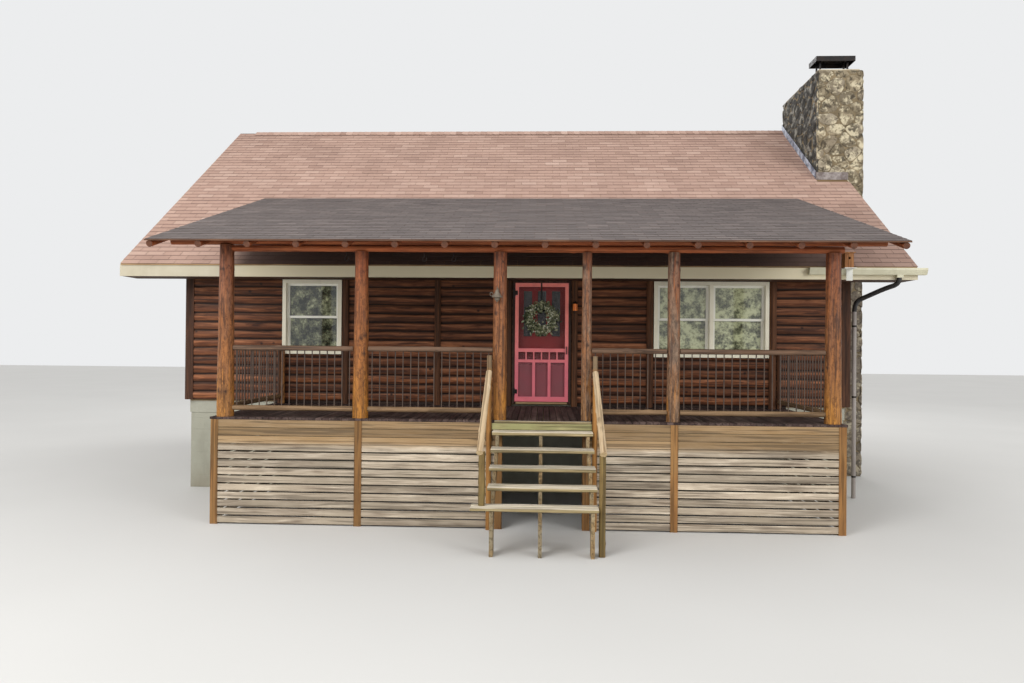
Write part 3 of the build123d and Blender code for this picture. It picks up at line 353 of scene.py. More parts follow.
def shingle_finish(name, tones, speckle_and_shadow, shade_under_porch=False):
    """Mineral granules over a colour that changes a little from tab to tab, with painted shadow under each
    butt and, on the main roof, painted shade where the porch roof covers it.
    """
    paint = Finish(name, 0.9)
    place = paint.place()
    grit = paint.noise(place, 380, 3, 0.7)
    paint.base = paint.ramp(paint.attribute("tone"), *tones)
    paint.lay(speckle_and_shadow, grit, 0.4, 0.62, 0.3)
    paint.lay(speckle_and_shadow, paint.noise(place, 1.1, 3, 0.5), 0.42, 0.62, 0.1)
    paint.lay(tones[-1][1], paint.noise(paint.stretch(place, (1, 0.2, 0.2)), 3.2, 3, 0.5), 0.5, 0.7, 0.08)
    # Painted shadow: each tab darker toward its top, under the next course's butt.
    paint.lay(speckle_and_shadow, paint.attribute("crown"), 0.0, 0.28, 0.0, 0.72)
    # Painted shade where the porch roof covers the main roof.
    if shade_under_porch:
        paint.wash(speckle_and_shadow, under_porch_roof(paint, 0.8))
    return paint.finish(normal=paint.bump(grit, 0.0015))


def under_porch_roof(paint, strength):
    """How far a point lies under the porch roof, fading out at its edges."""
    low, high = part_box("porch_rafters")
    place = paint.place()
    across = paint.axis(place, "X")
    covered = paint.between(paint.axis(place, "Y"), high.y - 0.4, high.y - 0.05, strength, 0.0)
    covered = paint.times(covered, paint.between(across, low.x, low.x + 0.5))
    return paint.times(covered, paint.between(across, high.x - 0.1, high.x + 0.4, 1.0, 0.4))


def painted(name, shade, worn, axis="x", roughness=0.5, wear=0.3, painted_light_under_porch=None):
    """Paint over boards: faint grain, dust and thin places; the colour for under the porch roof is painted
    light, paler where the roof's shade falls.
    """
    paint = Finish(name, roughness)
    along = grain_along(paint, axis)
    grain = paint.noise(along, 60, 4, 0.55, grain=0.05)
    dirt = paint.noise(along, 3.1, 5, 0.6)
    paint.base = shade
    paint.lay(worn, dirt, 0.4, 0.72, wear)
    paint.lay(worn, paint.noise(paint.place(), 9, 4, 0.6, grain=0.12), 0.5, 0.75, wear)
    # Painted light: a paler colour laid where the porch roof shades the boards.
    if painted_light_under_porch:
        paint.wash(painted_light_under_porch, under_porch_roof(paint, 0.9))
    rough = paint.between(dirt, 0.35, 0.7, roughness - 0.06, roughness + 0.15)
    return paint.finish(rough, paint.bump(grain, 0.0006))


def metal(name, shade, spot, roughness=0.4, metallic=0.85, scale=30.0):
    """Sheet or wrought metal with a faint uneven surface and duller spots."""
    paint = Finish(name, roughness, metallic)
    place = paint.place()
    stain = paint.noise(place, scale * 0.25, 5, 0.6)
    paint.base = shade
    paint.lay(spot, stain, 0.42, 0.68, 0.7)
    rough = paint.between(stain, 0.3, 0.7, roughness - 0.08, roughness + 0.2)
    return paint.finish(rough, paint.bump(paint.noise(place, scale * 6, 4), 0.0004))


def flashing_finish():
    """Sheet lead: a painted highlight, pale and bluish, where it steps up the side of the chimney; dull on
    its front apron.
    """
    paint = Finish("flashing", 0.5, 0.25)
    place = paint.place()
    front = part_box("chimney_flashing")[0].y
    stain = paint.noise(place, 6, 6, 0.7)
    patch = paint.between(stain, 0.42, 0.6)
    paint.base = paint.mix(patch, (96, 84, 80), (150, 142, 138))
    # Painted highlight: pale bluish colour for the side flashing.
    side = paint.mix(patch, (112, 120, 138), (214, 222, 236))
    paint.lay(side, paint.axis(place, "Y"), front + 0.03, front + 0.05)
    return paint.finish(paint.between(stain, 0.3, 0.7, 0.42, 0.62), paint.bump(stain, 0.003))


def stone_finish():
    """Fieldstone: each stone has its own tone, with lichen, grain and dark pits; knot lays painted shade over
    it, dark grey, for the chimney's shaded inner side.
    """
    paint = Finish("fieldstone", 0.92)
    place = paint.place()
    coarse = paint.noise(place, 4.2, 7, 0.68, 0.6)
    pits = paint.noise(place, 10, 7, 0.68, 0.8)
    lichen = paint.noise(place, 5.5, 7, 0.7)
    paint.base = paint.ramp(
        paint.attribute("tone"), (0.0, (112, 102, 85)), (0.3, (146, 133, 109)), (0.6, (166, 151, 124)),
        (0.8, (130, 118, 100)), (1.0, (174, 163, 142)),
    )
    paint.lay((98, 86, 64), coarse, 0.42, 0.58, 0.75)
    paint.lay((210, 198, 168), lichen, 0.5, 0.58, 0.85)
    paint.lay((60, 52, 40), pits, 0.5, 0.6, 0.85)
    # Painted shade: dark grey over the stones where knot is set, on the chimney's inner side.
    shaded_side_tone = paint.ramp(paint.between(lichen, 0.44, 0.6), (0.0, (34, 34, 33)), (0.6, (70, 70, 67)),
                       (1.0, (138, 136, 128)))
    paint.wash(shaded_side_tone, paint.times(paint.attribute("knot"), 0.93))
    paint.lay((112, 104, 98), paint.axis(place, "Z"), house.z + 2.4, house.z + 3.4, 0.0, 0.45)
    height = paint.plus(paint.times(coarse, 0.6), paint.times(pits, -0.5))
    height = paint.plus(height, paint.times(paint.noise(place, 60, 6, 0.75), 0.2))
    return paint.finish(normal=paint.bump(height, 0.045))


def mortar_finish():
    """Sandy mortar with soft stains."""
    paint = Finish("mortar", 0.95)
    place = paint.place()
    paint.base = paint.fade(paint.noise(place, 4, 5, 0.6), 0.35, 0.65, (92, 80, 60), (138, 122, 94))
    return paint.finish(normal=paint.bump(paint.noise(place, 160, 4, 0.7), 0.003))


def glass_finish(name, dark, light):
    """Window glass with a slight ripple: its dark colour is painted shade of the room behind, and a pale
    green-grey mottle over it, brighter to the right, is a painted reflection.
    """
    paint = Finish(name, 0.06, specular=0.7)
    paint.shader.inputs["Coat Weight"].default_value = 0.6
    paint.shader.inputs["Alpha"].default_value = 0.85
    dark, light = colour(dark), colour(light)
    middle = tuple(0.75 * first + 0.25 * second for first, second in zip(dark, light))
    place = paint.place()
    # Painted reflection: pale green-grey mottling over the glass's dark colour.
    reflection_haze, reflection_speck = paint.noise(place, 5.5, 6, 0.65), paint.noise(place, 26, 5, 0.7)
    reflection_mottle = paint.plus(paint.times(reflection_haze, 0.7), paint.times(reflection_speck, 0.3))
    # Painted reflection, a little brighter toward the right.
    reflection_mottle = paint.plus(reflection_mottle, paint.between(paint.axis(place, "X"), 0.0, house.x + 2.2, -0.03, 0.05))
    paint.base = paint.fade(reflection_mottle, 0.4, 0.62, dark, middle, light)
    return paint.finish(normal=paint.bump(paint.noise(place, 2.2, 2, 0.4), 0.01, 0.3))


def screen_finish():
    """A woven insect screen, seen through between its wires: pinkish and denser on its lower half, dark and
    clearer above.
    """
    paint = Finish("insect_screen", 0.6, 0.1)
    place = paint.place()
    wires = [paint.math("SINE", paint.times(paint.axis(place, axis), 2 * pi / SCREEN_PITCH)) for axis in "XZ"]
    height = paint.between(paint.axis(place, "Z"), door_low.z + 0.62, door_low.z + 0.88)
    paint.base = paint.mix(height, (152, 80, 88), (44, 34, 34))
    paint.lay((120, 94, 94), paint.noise(place, 5, 4, 0.6), 0.4, 0.7, 0.25)
    paint.fill(paint.shader.inputs["Alpha"], paint.between(height, 0.0, 1.0, 0.66, 0.2))
    return paint.finish(normal=paint.bump(paint.math("MAXIMUM", *wires), 0.0003))


def glow_finish():
    """The lantern's amber glass, lit from inside."""
    paint = Finish("lantern_glow", 0.35)
    place = paint.place()
    paint.base = paint.fade(paint.noise(place, 40, 3), 0.3, 0.7, (150, 66, 22), (214, 122, 50))
    paint.fill(paint.shader.inputs["Emission Color"], paint.base)
    paint.shader.inputs["Emission Strength"].default_value = 0.4
    return paint.finish(normal=paint.bump(paint.cells(place, 130), 0.001))


def screen_door_finish():
    """Gloss paint that fades from coral at the door's top to rose at its foot."""
    paint = Finish("screen_door_paint", 0.38)
    place = paint.place()
    wear = paint.noise(place, 6, 5, 0.6)
    paint.base = (216, 108, 120)
    paint.lay((255, 138, 126), paint.axis(place, "Z"), door_low.z + 0.5, door_low.z + 1.5)
    paint.lay((120, 60, 66), wear, 0.45, 0.75, 0.22)
    grain = paint.noise(place, 70, 4, grain=0.05)
    return paint.finish(paint.between(wear, 0.3, 0.7, 0.3, 0.5), paint.bump(grain, 0.0005))


def block_finish():
    """Painted concrete block: cream paint that still shows the joints."""
    paint = Finish("painted_block", 0.7)
    place = paint.place()
    height = paint.axis(place, "Z")
    around = paint.plus(paint.axis(place, "X"), paint.axis(place, "Y"))
    joints = paint.node("TexBrick", {
        "Vector": paint.node("CombineXYZ", {"X": around, "Y": height}).outputs[0], "Scale": 1.0,
        "Brick Width": 0.406, "Row Height": 0.203, "Mortar Size": 0.006, "Mortar Smooth": 0.4,
    }).outputs["Fac"]
    damp = paint.noise(place, 2.6, 5, 0.62, grain=0.5)
    paint.base = (154, 153, 138)
    paint.lay((122, 119, 104), damp, 0.42, 0.7, 0.4)
    paint.wash((110, 92, 66), paint.times(paint.between(height, 0.0, 0.45, 0.6, 0.0), damp))
    paint.wash((150, 148, 132), paint.times(joints, 0.14))
    relief = paint.minus(paint.times(paint.noise(place, 110, 4, 0.7), 0.25), joints)
    return paint.finish(normal=paint.bump(relief, 0.0015))


log_paint = stained_logs()
post_paint = peeled_post_wood()
post_ends = end_grain("post_end_grain", (96, 66, 46), (152, 116, 86))
rafter_ends = end_grain("rafter_end_grain", (62, 36, 24), (118, 72, 48))
pale_ends = end_grain("pale_end_grain", (164, 134, 92), (226, 204, 162))
beam_paint = wood("beam_wood", (118, 56, 32), (208, 118, 70), weather=(162, 94, 58))
rail_paint = wood("rail_wood", (66, 48, 36), (132, 102, 80), weather=(110, 88, 72))
lower_rail_paint = wood("lower_rail_wood", (84, 64, 44), (154, 124, 92), weather=(124, 100, 74))
deck_paint = wood("deck_wood", (40, 29, 27), (80, 59, 54), weather=(90, 74, 68))
skirt_paint = wood("skirting_wood", (120, 104, 88), (222, 208, 186), weather=(170, 156, 136), roughness=0.85,
                   head=(house.z - 0.38, (140, 110, 70)))
# The treads' upper faces get a painted highlight, the top colour.
tread_paint = wood("tread_wood", (112, 98, 68), (190, 172, 132), weather=(146, 130, 94), roughness=0.85,
                   top=(216, 206, 188))
header_paint = wood("header_wood", (96, 92, 60), (178, 168, 124), weather=(140, 138, 96), roughness=0.85)
newel_paint = wood("newel_wood", (86, 68, 36), (146, 122, 76), weather=(112, 96, 58))
upper_newel_paint = wood("upper_newel_wood", (126, 84, 40), (196, 142, 78),
                         head=(house.z + 0.70, (112, 102, 84)))
pale_paint = wood("pale_peeled_wood", (142, 112, 76), (218, 200, 170), weather=(184, 162, 130))
# Painted shade: near-black wood for the board at the foot of the wall.
foot_paint = wood("wall_foot_wood", (34, 24, 20), (66, 48, 38))
bar_paint = metal("rail_bars", (62, 48, 40), (92, 74, 60), 0.55, 0.2)
dark_metal = metal("dark_metal", (36, 34, 34), (64, 54, 48), 0.45, 0.7)
tin_paint = metal("weathered_tin", (118, 108, 94), (78, 62, 50), 0.6, 0.3)
pipe_paint = painted("pipe_paint", (150, 142, 136), (112, 104, 98), "z")
elbow_paint = metal("black_plastic", (30, 28, 28), (56, 50, 46), 0.45, 0.0)
glow_paint = glow_finish()
stone_paint = stone_finish()
mortar_paint = mortar_finish()
crown_paint = metal("crown_mortar", (196, 184, 160), (150, 138, 116), 0.9, 0.0, 12)
flue_paint = metal("flue_clay", (122, 84, 62), (74, 56, 48), 0.9, 0.0)
soot_paint = metal("soot", (16, 14, 13), (30, 26, 24), 0.95, 0.0)
leaf_paint = shingle_finish("wreath_leaves", (
    (0.0, (34, 40, 24)), (0.35, (66, 74, 46)), (0.7, (128, 132, 94)), (1.0, (196, 194, 158)),
), (44, 50, 32))
twig_paint = shingle_finish("wreath_twigs", spaced((74, 58, 42), (124, 102, 76)), (50, 38, 28))
blossom_paint = shingle_finish("wreath_blossoms", spaced((206, 204, 186), (236, 232, 216)), (178, 172, 146))
# The main roof's shingles get painted shade under the porch roof.
shingle_paint = shingle_finish("brown_shingles", spaced((152, 121, 107), (181, 148, 132), (206, 176, 160)),
                               (80, 60, 53), shade_under_porch=True)
porch_shingle_paint = shingle_finish("grey_shingles", spaced((88, 80, 78), (106, 97, 94), (132, 120, 115)),
                                     (60, 54, 52))
# Painted shade: dark tab butts, sides and undersides, and the ridge caps' front edges.
butt_shade_paint = shingle_finish("shaded_shingle_butts", spaced((58, 44, 42), (84, 66, 62)), (40, 32, 30))

CAD_FINISHES = {
    "foundation_walls": block_finish(),
    "floor_frame": painted("rim_paint", (158, 157, 142), (128, 125, 110)),
    # The fascias are painted paler under the porch roof: painted light against its shade.
    "fascias": painted("fascia_paint", (184, 175, 152), (160, 148, 122), painted_light_under_porch=(232, 221, 188)),
    "barge_boards": painted("barge_paint", (184, 175, 148), (160, 148, 118), "y"),
    "window_frames": painted("casing_paint", (234, 228, 206), (204, 194, 168), "z"),
    "window_sashes": painted("sash_paint", (240, 238, 226), (212, 208, 192), "z", 0.35, 0.15),
    # Glass: a dark painted shade of the room with a pale painted reflection over it.
    "window_glass": glass_finish("window_glass", (32, 38, 30), (206, 210, 168)),
    "front_door_glass": glass_finish("door_glass", (22, 28, 24), (52, 60, 50)),
    "front_door": painted("front_door_paint", (204, 62, 60), (158, 44, 46), "z", 0.35),
    "screen_door": screen_door_finish(),
    "screen_mesh": screen_finish(),
    "chimney_flashing": flashing_finish(),
    "gutter": painted("gutter_paint", (206, 202, 176), (166, 158, 128)),
    "box_bracket": painted("bracket_paint", (228, 228, 220), (190, 188, 176)),
}
for node, name, dark, light, axis, boards, weather in (
    ("subfloor", "sheathing", (150, 122, 84), (196, 166, 122), "x", ("Y", 1.2), None),
    ("corner_posts", "corner_post_wood", (52, 31, 20), (108, 70, 48), "z", ("X", 3.0), None),
    ("wall_uprights", "upright_wood", (58, 34, 20), (118, 76, 48), "z", ("X", 0.31), None),
    ("door_frame", "door_frame_wood", (50, 34, 27), (92, 64, 50), "z", ("X", 0.2), None),
    ("soffits", "soffit_boards", (66, 44, 34), (116, 82, 62), "x", ("Y", 0.12), None),
    ("main_roof_front", "sheathing_front", (122, 96, 66), (172, 142, 104), "x", ("Y", 0.2), None),
    ("main_roof_back", "sheathing_back", (122, 96, 66), (172, 142, 104), "x", ("Y", 0.2), None),
    ("porch_roof", "porch_boards", (74, 50, 38), (128, 92, 68), "x", ("Y", 0.14), None),
    ("porch_joists", "joist_wood", (120, 104, 70), (170, 156, 116), "x", ("Y", 0.3), (150, 148, 116)),
    ("deck_posts", "deck_post_wood", (106, 72, 40), (168, 122, 70), "z", ("X", 0.8), (136, 102, 62)),
    ("stair_stringers", "stringer_wood", (104, 82, 52), (166, 140, 100), "y", ("X", 0.3), (150, 138, 112)),
    ("door_threshold", "threshold_wood", (150, 120, 80), (224, 192, 146), "x", ("Y", 1.0), None),
    ("bird_box", "bird_box_wood", (132, 84, 48), (188, 136, 88), "z", ("X", 0.5), None),
):
    CAD_FINISHES[node] = wood(name, dark, light, axis, weather, boards=boards)
CAD_FINISHES["cabin_floor"] = wood("floor_boards", (120, 78, 44), (172, 122, 76), "x", roughness=0.4,
                                   boards=("Y", 0.09))
for node in ("ridge_vent", "frame_hinges", "front_door_hardware", "screen_door_hardware", "chimney_cap"):
    CAD_FINISHES[node] = dark_metal

EASED_NODES = (
    "window_frames", "window_sashes", "fascias", "barge_boards", "screen_door", "front_door",
    "door_threshold", "bird_box", "box_bracket", "soffits", "corner_posts", "deck_posts",
    "stair_stringers", "chimney_cap",
)


def dress_nodes():
    """Give every CAD node its finish, and ease the edges that show."""
    for name, node in frame["nodes"].items():
        if name not in CAD_FINISHES:
            continue
        node.data.materials.clear()
        node.data.materials.append(CAD_FINISHES[name])
        if name in EASED_NODES:
            ease = node.modifiers.new("eased edges", "BEVEL")
            ease.width = EDGE_EASE
            ease.segments = 2
            ease.limit_method = "ANGLE"
            ease.angle_limit = radians(40)


# Dressed pieces

class Surface:
    """Points and faces of one piece, with the values that its materials read at each point."""

    def __init__(self):
        self.points, self.faces, self.kinds = [], [], []
        self.values = {"grain": [], "tone": [], "ring": [], "knot": [], "crown": []}

    def point(self, place, grain=(0, 0, 0), tone=0.5, ring=0.0, knot=0.0, crown=0.0):
        """Add a point and its values, and give back its number."""
        self.points.append(tuple(place))
        for numbers, value in zip(self.values.values(), (grain, tone, ring, knot, crown)):
            numbers.append(value)
        return len(self.points) - 1

    def face(self, *corners, kind=0):
        """Add a face; kind picks its finish in the piece's list."""
        self.faces.append(corners)
        self.kinds.append(kind)

    def bridge(self, rows, closed=True, kind=0):
        """Quads between rows that have the same number of points."""
        count = len(rows[0])
        for near, far in zip(rows, rows[1:]):
            for number in range(count if closed else count - 1):
                after = (number + 1) % count
                self.face(near[number], near[after], far[after], far[number], kind=kind)

    def fan(self, row, centre, kind=0):
        """Triangles from a closed row to a point in its middle."""
        for number, corner in enumerate(row):
            self.face(corner, row[(number + 1) % len(row)], centre, kind=kind)

    def piece(self, name, finishes, slot=None, body="root", replaces=(), sharp=38):
        """Make the object; edges sharper than an angle in degrees stay sharp."""
        mesh = bpy.data.meshes.new(name)
        mesh.from_pydata(self.points, [], self.faces)
        for key, numbers in self.values.items():
            kind, field = "FLOAT", "value"
            if key == "grain":
                kind, field = "FLOAT_VECTOR", "vector"
                numbers = [part for vector in numbers for part in vector]
            mesh.attributes.new(key, kind, "POINT").data.foreach_set(field, numbers)
        for finish in finishes:
            mesh.materials.append(finish)
        mesh.polygons.foreach_set("material_index", self.kinds)
        work = bmesh.new()
        work.from_mesh(mesh)
        bmesh.ops.recalc_face_normals(work, faces=work.faces)
        work.to_mesh(mesh)
        work.free()
        mesh.shade_smooth()
        mesh.set_sharp_from_angle(angle=radians(sharp))
        made = bpy.data.objects.new(name, mesh)
        bpy.context.scene.collection.objects.link(made)
        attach(made, body)
        if replaces:
            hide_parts(*replaces)


def frame_point(x, y, z):
    """A place in the house's own axes, in the frame."""
    return house + Vector((x, y, z))


def random_shift(chance):
    """An offset that gives each log, board or stone its own stretch of grain."""
    return Vector((chance.uniform(0, 40), chance.uniform(0, 40), chance.uniform(0, 40)))


def tone_near(chance, middle, spread):
    """A random tone round a middle one, from 0 to 1."""
    return min(max(chance.gauss(middle, spread), 0), 1)


def add_cap(surface, row, centre, tone):
    """Close a row of points with rings that shrink to a centre, as a cut end."""
    edge = [Vector(surface.points[number]) for number in row]
    rows = []
    for size in (1.0, 0.55):
        spots = [centre + (place - centre) * size for place in edge]
        rows.append([surface.point(spot, spot, tone, ring=size) for spot in spots])
    surface.bridge(rows, kind=1)
    surface.fan(rows[-1], surface.point(centre, centre, tone), kind=1)


def add_log(surface, start, end, radii, seed, sides=18, step=0.06, wobble=0.06, knots=0, tone=0.5,
            flatten=None):
    """A peeled log: not quite round or straight, with swollen knots and cut ends.

    flatten is how far its underside is cut away, as a share of its radius.
    """
    start, end = Vector(start), Vector(end)
    axis = (end - start).normalized()
    length = (end - start).length
    side = axis.cross(Vector((0, 0, 1)))
    side = side.normalized() if side.length > 0.1 else Vector((1, 0, 0))
    up = side.cross(axis)
    chance = random.Random(seed)
    shift = random_shift(chance)
    bumps = [
        (chance.uniform(0.06, 0.94) * length, chance.uniform(0, 2 * pi), chance.uniform(0.018, 0.034))
        for number in range(knots)
    ]
    count = max(2, round(length / step))
    rows = []
    for number in range(count + 1):
        along = length * number / count
        radius = radii[0] + (radii[1] - radii[0]) * number / count
        row = []
        for part in range(sides):
            angle = 2 * pi * part / sides
            across, rise = cos(angle) * radius, sin(angle) * radius
            swell = noise.noise(Vector((across * 5, rise * 5, along * 1.1)) + shift)
            ripple = noise.noise(Vector((across * 22, rise * 22, along * 3.4)) + shift)
            knot = 0.0
            for place, turn, size in bumps:
                apart = abs((angle - turn + pi) % (2 * pi) - pi) * radius
                knot = max(knot, exp(-(hypot(along - place, apart) / size) ** 2))
            reach = radius * (1 - 0.6 * wobble + wobble * swell + 0.4 * wobble * ripple) + 0.009 * knot
            across, rise = cos(angle) * reach, sin(angle) * reach
            if flatten is not None:
                rise = max(rise, -radius * flatten)
            place = start + axis * along + side * across + up * rise
            row.append(surface.point(place, Vector((across, rise, along)) + shift, tone, knot=knot))
        rows.append(row)
    surface.bridge(rows)
    add_cap(surface, rows[0], start, tone)
    add_cap(surface, rows[-1], end, tone)


def add_board(surface, low, high, along, seed, chamfer=0.003, wobble=0.0012, step=0.15, kind=0):
    """A sawn board between two corners, its edges eased and a little uneven.

    along is 0, 1 or 2 for the axis that the grain follows.
    """
    chance = random.Random(seed)
    tone = chance.random()
    shift = random_shift(chance)
    first, second = [axis for axis in range(3) if axis != along]
    middle = (low + high) / 2
    half_a, half_b = (high[first] - low[first]) / 2, (high[second] - low[second]) / 2
    cut = min(chamfer, half_a / 2, half_b / 2)
    corners = (
        (-half_a, -half_b + cut), (-half_a, half_b - cut), (-half_a + cut, half_b), (half_a - cut, half_b),
        (half_a, half_b - cut), (half_a, -half_b + cut), (half_a - cut, -half_b), (-half_a + cut, -half_b),
    )
    length = high[along] - low[along]
    count = max(1, round(length / step))
    rows = []
    for number in range(count + 1):
        distance = length * number / count
        row = []
        for a, b in corners:
            drift = Vector((a * 9, b * 9, distance * 2.2)) + shift
            pull = 1 - wobble / max(half_a, 0.004) * max(0.5 + noise.noise(drift), 0)
            lift = 1 - wobble / max(half_b, 0.004) * max(0.5 + noise.noise(drift + Vector((9, 9, 9))), 0)
            place = middle.copy()
            place[first] += a * pull
            place[second] += b * lift
            place[along] = low[along] + distance
            row.append(surface.point(place, Vector((a, b, distance)) + shift, tone))
        rows.append(row)
    surface.bridge(rows, kind=kind)
    surface.face(*reversed(rows[0]), kind=kind)
    surface.face(*rows[-1], kind=kind)


def add_house_board(surface, x0, x1, y0, y1, z0, z1, along, seed, **more):
    """A board given in the house's own axes."""
    add_board(surface, frame_point(x0, y0, z0), frame_point(x1, y1, z1), along, seed, **more)


def walls():
    """Every outer wall as rounded logs between its corner posts, cut for door and windows."""
    heights = (WINDOW_SILL + WINDOW_CASING, OPENING_TOP - WINDOW_CASING)
    windows = [(middle - half, middle + half) + heights
               for middle, half in ((SINGLE_WINDOW, SINGLE_HALF), (TWIN_WINDOW, TWIN_HALF))]
    door = (-DOOR_HALF, DOOR_HALF, -1.0, OPENING_TOP)
    gable = [(middle - SINGLE_HALF, middle + SINGLE_HALF) + heights for middle in GABLE_WINDOWS]
    front, side = (WALL_LEFT, WALL_RIGHT), (0, HOUSE_DEPTH)
    for number, (name, corner, run, inward, span, holes, replaced) in enumerate((
        ("front_wall_logs", (0, 0), (1, 0), (0, 1), front, windows + [door],
         ("front_wall_left", "front_wall_right", "front_wall_over_door")),
        ("back_wall_logs", (0, HOUSE_DEPTH), (1, 0), (0, -1), front, windows, ("back_wall",)),
        ("left_gable_logs", (WALL_LEFT, 0), (0, 1), (1, 0), side, gable, ("left_gable_wall",)),
        ("right_gable_logs", (WALL_RIGHT, 0), (0, 1), (-1, 0), side, gable[1:], ("right_gable_wall",)),
    )):
        surface = Surface()
        sloped = span is side
        low, high = span[0] + WALL_THICKNESS, span[1] - WALL_THICKNESS
        for course in range(GABLE_COURSES if sloped else WALL_COURSES):
            base = WALL_BASE + course * LOG_HEIGHT
            seed = 100 * number + course
            add_wall_log(surface, corner, run, inward, (low, high), base, holes, sloped, seed)
        surface.piece(name, [log_paint], "logs", replaces=replaced)


def under_roof(z, low, high):
    """The part of a gable wall that lies under the roof at a height."""
    start = (z - (EAVE_HEIGHT + ROOF_SLOPE * EAVE_REACH - ROOF_DROP)) / ROOF_SLOPE
    return max(low, start), min(high, HOUSE_DEPTH - start)


def joint_drift(corner, level, along):
    """How far the joint between two courses strays from its line at a place on the wall."""
    return 0.010 * noise.noise(Vector((along * 1.4, level * 31, corner[0] + corner[1] * 3)))


def add_wall_log(surface, corner, run, inward, span, base, holes, sloped, seed):
    """One course of a wall, in as many lengths as the openings leave."""
    top = base + LOG_HEIGHT
    lengths, start = [], span[0]
    for left, right, sill, head in sorted(hole for hole in holes if hole[2] < top and hole[3] > base):
        lengths.append((start, left, base, top))
        if sill > base + 0.004:
            lengths.append((left, right, base, sill))
        if head < top - 0.004:
            lengths.append((left, right, head, top))
        start = right
    lengths.append((start, span[1], base, top))
    chance = random.Random(seed)
    tone = chance.random()
    shift = random_shift(chance)
    radius = (LOG_HEIGHT ** 2 / 4 + LOG_GROOVE ** 2) / (2 * LOG_GROOVE)

    def point(along, z, depth, level, crown, share):
        x = corner[0] + run[0] * along + inward[0] * depth
        y = corner[1] + run[1] * along + inward[1] * depth
        grain = Vector((level, depth, along)) + shift
        return surface.point(frame_point(x, y, z), grain, tone, ring=share, crown=crown)

    rounds, step, least = 8, 0.11, 0.02
    for t0, t1, low, high in lengths:
        levels = [low + (high - low) * part / rounds for part in range(rounds + 1)]
        ends = [under_roof(z, t0, t1) if sloped else (t0, t1) for z in levels]
        if ends[0][1] - ends[0][0] < least:
            continue
        ends = [(near, max(far, near + 0.002)) for near, far in ends]
        count = max(1, round((t1 - t0) / step))
        rows = []
        for number in range(count + 1):
            row = []
            for z, (near, far) in zip(levels, ends):
                along = near + (far - near) * number / count
                # share and crown, stored as the ring and crown attributes, place the painted highlight on
                # each log's upper half and the painted shade at its joints.
                share = (z - low) / (high - low)
                sway = joint_drift(corner, base, along) * (1 - share) if low == base > WALL_BASE else 0
                sway += joint_drift(corner, top, along) * share if high == top and top < WALL_TOP else 0
                off = z - base - LOG_HEIGHT / 2
                dip = radius - sqrt(max(radius ** 2 - off ** 2, 0))
                crown = 1 - abs(off) / (LOG_HEIGHT / 2)
                drift = noise.noise(Vector((off * 7, seed * 3.7, along * 0.9)) + shift)
                chips = noise.noise(Vector((off * 30, seed * 3.7, along * 5)) + shift)
                worn = (0.007 + 0.011 * drift + 0.005 * chips) * (0.3 + crown)
                dip = min(max(dip + worn, 0.0), LOG_HOLLOW)
                row.append(point(along, z + sway, dip, off, crown, share))
            for z, (near, far) in ((levels[-1], ends[-1]), (levels[0], ends[0])):
                along = near + (far - near) * number / count
                row.append(point(along, z, WALL_THICKNESS, z, 0.6, 0.5))
            rows.append(row)
        surface.bridge(rows)
        surface.face(*reversed(rows[0]))
        surface.face(*rows[-1])


def add_slope(surface, x0, x1, eave, ridge, seed, cut=None):
    """Courses of shingle tabs from an eave to a ridge, both (y, z) in the house's own axes.

    cut gives the right end of a course from its y, where that isn't x1.
    """
    rise, run = ridge[1] - eave[1], ridge[0] - eave[0]
    length = hypot(rise, run)
    up = Vector((0, run / length, rise / length))
    out = Vector((0, -rise, run)) * (1 if run > 0 else -1) / length
    chance = random.Random(seed)
    origin = frame_point(0, *eave)
    for course in range(int(length / SHINGLE_EXPOSURE) + 1):
        start = max(course * SHINGLE_EXPOSURE, 0.006)
        stop = min(course * SHINGLE_EXPOSURE + SHINGLE_EXPOSURE + 0.012, length)
        if stop - start < 0.02:
            continue
        limit = cut(eave[0] + run / length * start) if cut else x1
        offset = (course % 2) * SHINGLE_TAB / 2 + chance.uniform(-0.012, 0.012)
        family = chance.uniform(-0.06, 0.06)
        left = x0 - offset
        while left < limit:
            near, far = max(left + 0.0025, x0), min(left + SHINGLE_TAB - 0.0025, limit)
            left += SHINGLE_TAB
            if far - near < 0.015:
                continue
            tone = tone_near(chance, 0.5 + family, 0.11)
            butt = start + chance.uniform(-0.0025, 0.0025) * (course > 0)
            lift = SHINGLE_THICKNESS * chance.uniform(0.75, 1.15)
            corners = []
            for x in (near, far):
                for distance, height in ((butt, 0.0), (butt, lift), (stop, 0.0012)):
                    place = origin + Vector((x, 0, 0)) + up * distance + out * height
                    # crown, 0 at the tab's top, places the painted shadow under the next course's butt.
                    crown = (stop - distance) / SHINGLE_EXPOSURE
                    corners.append(surface.point(place, place, tone, crown=crown))
            surface.face(*[corners[n] for n in (1, 4, 5, 2)])
            # The butt, sides and underside take the second finish, dark as painted shade.
            for side in ((0, 3, 4, 1), (0, 1, 2), (3, 5, 4), (0, 2, 5, 3)):
                surface.face(*[corners[n] for n in side], kind=1)


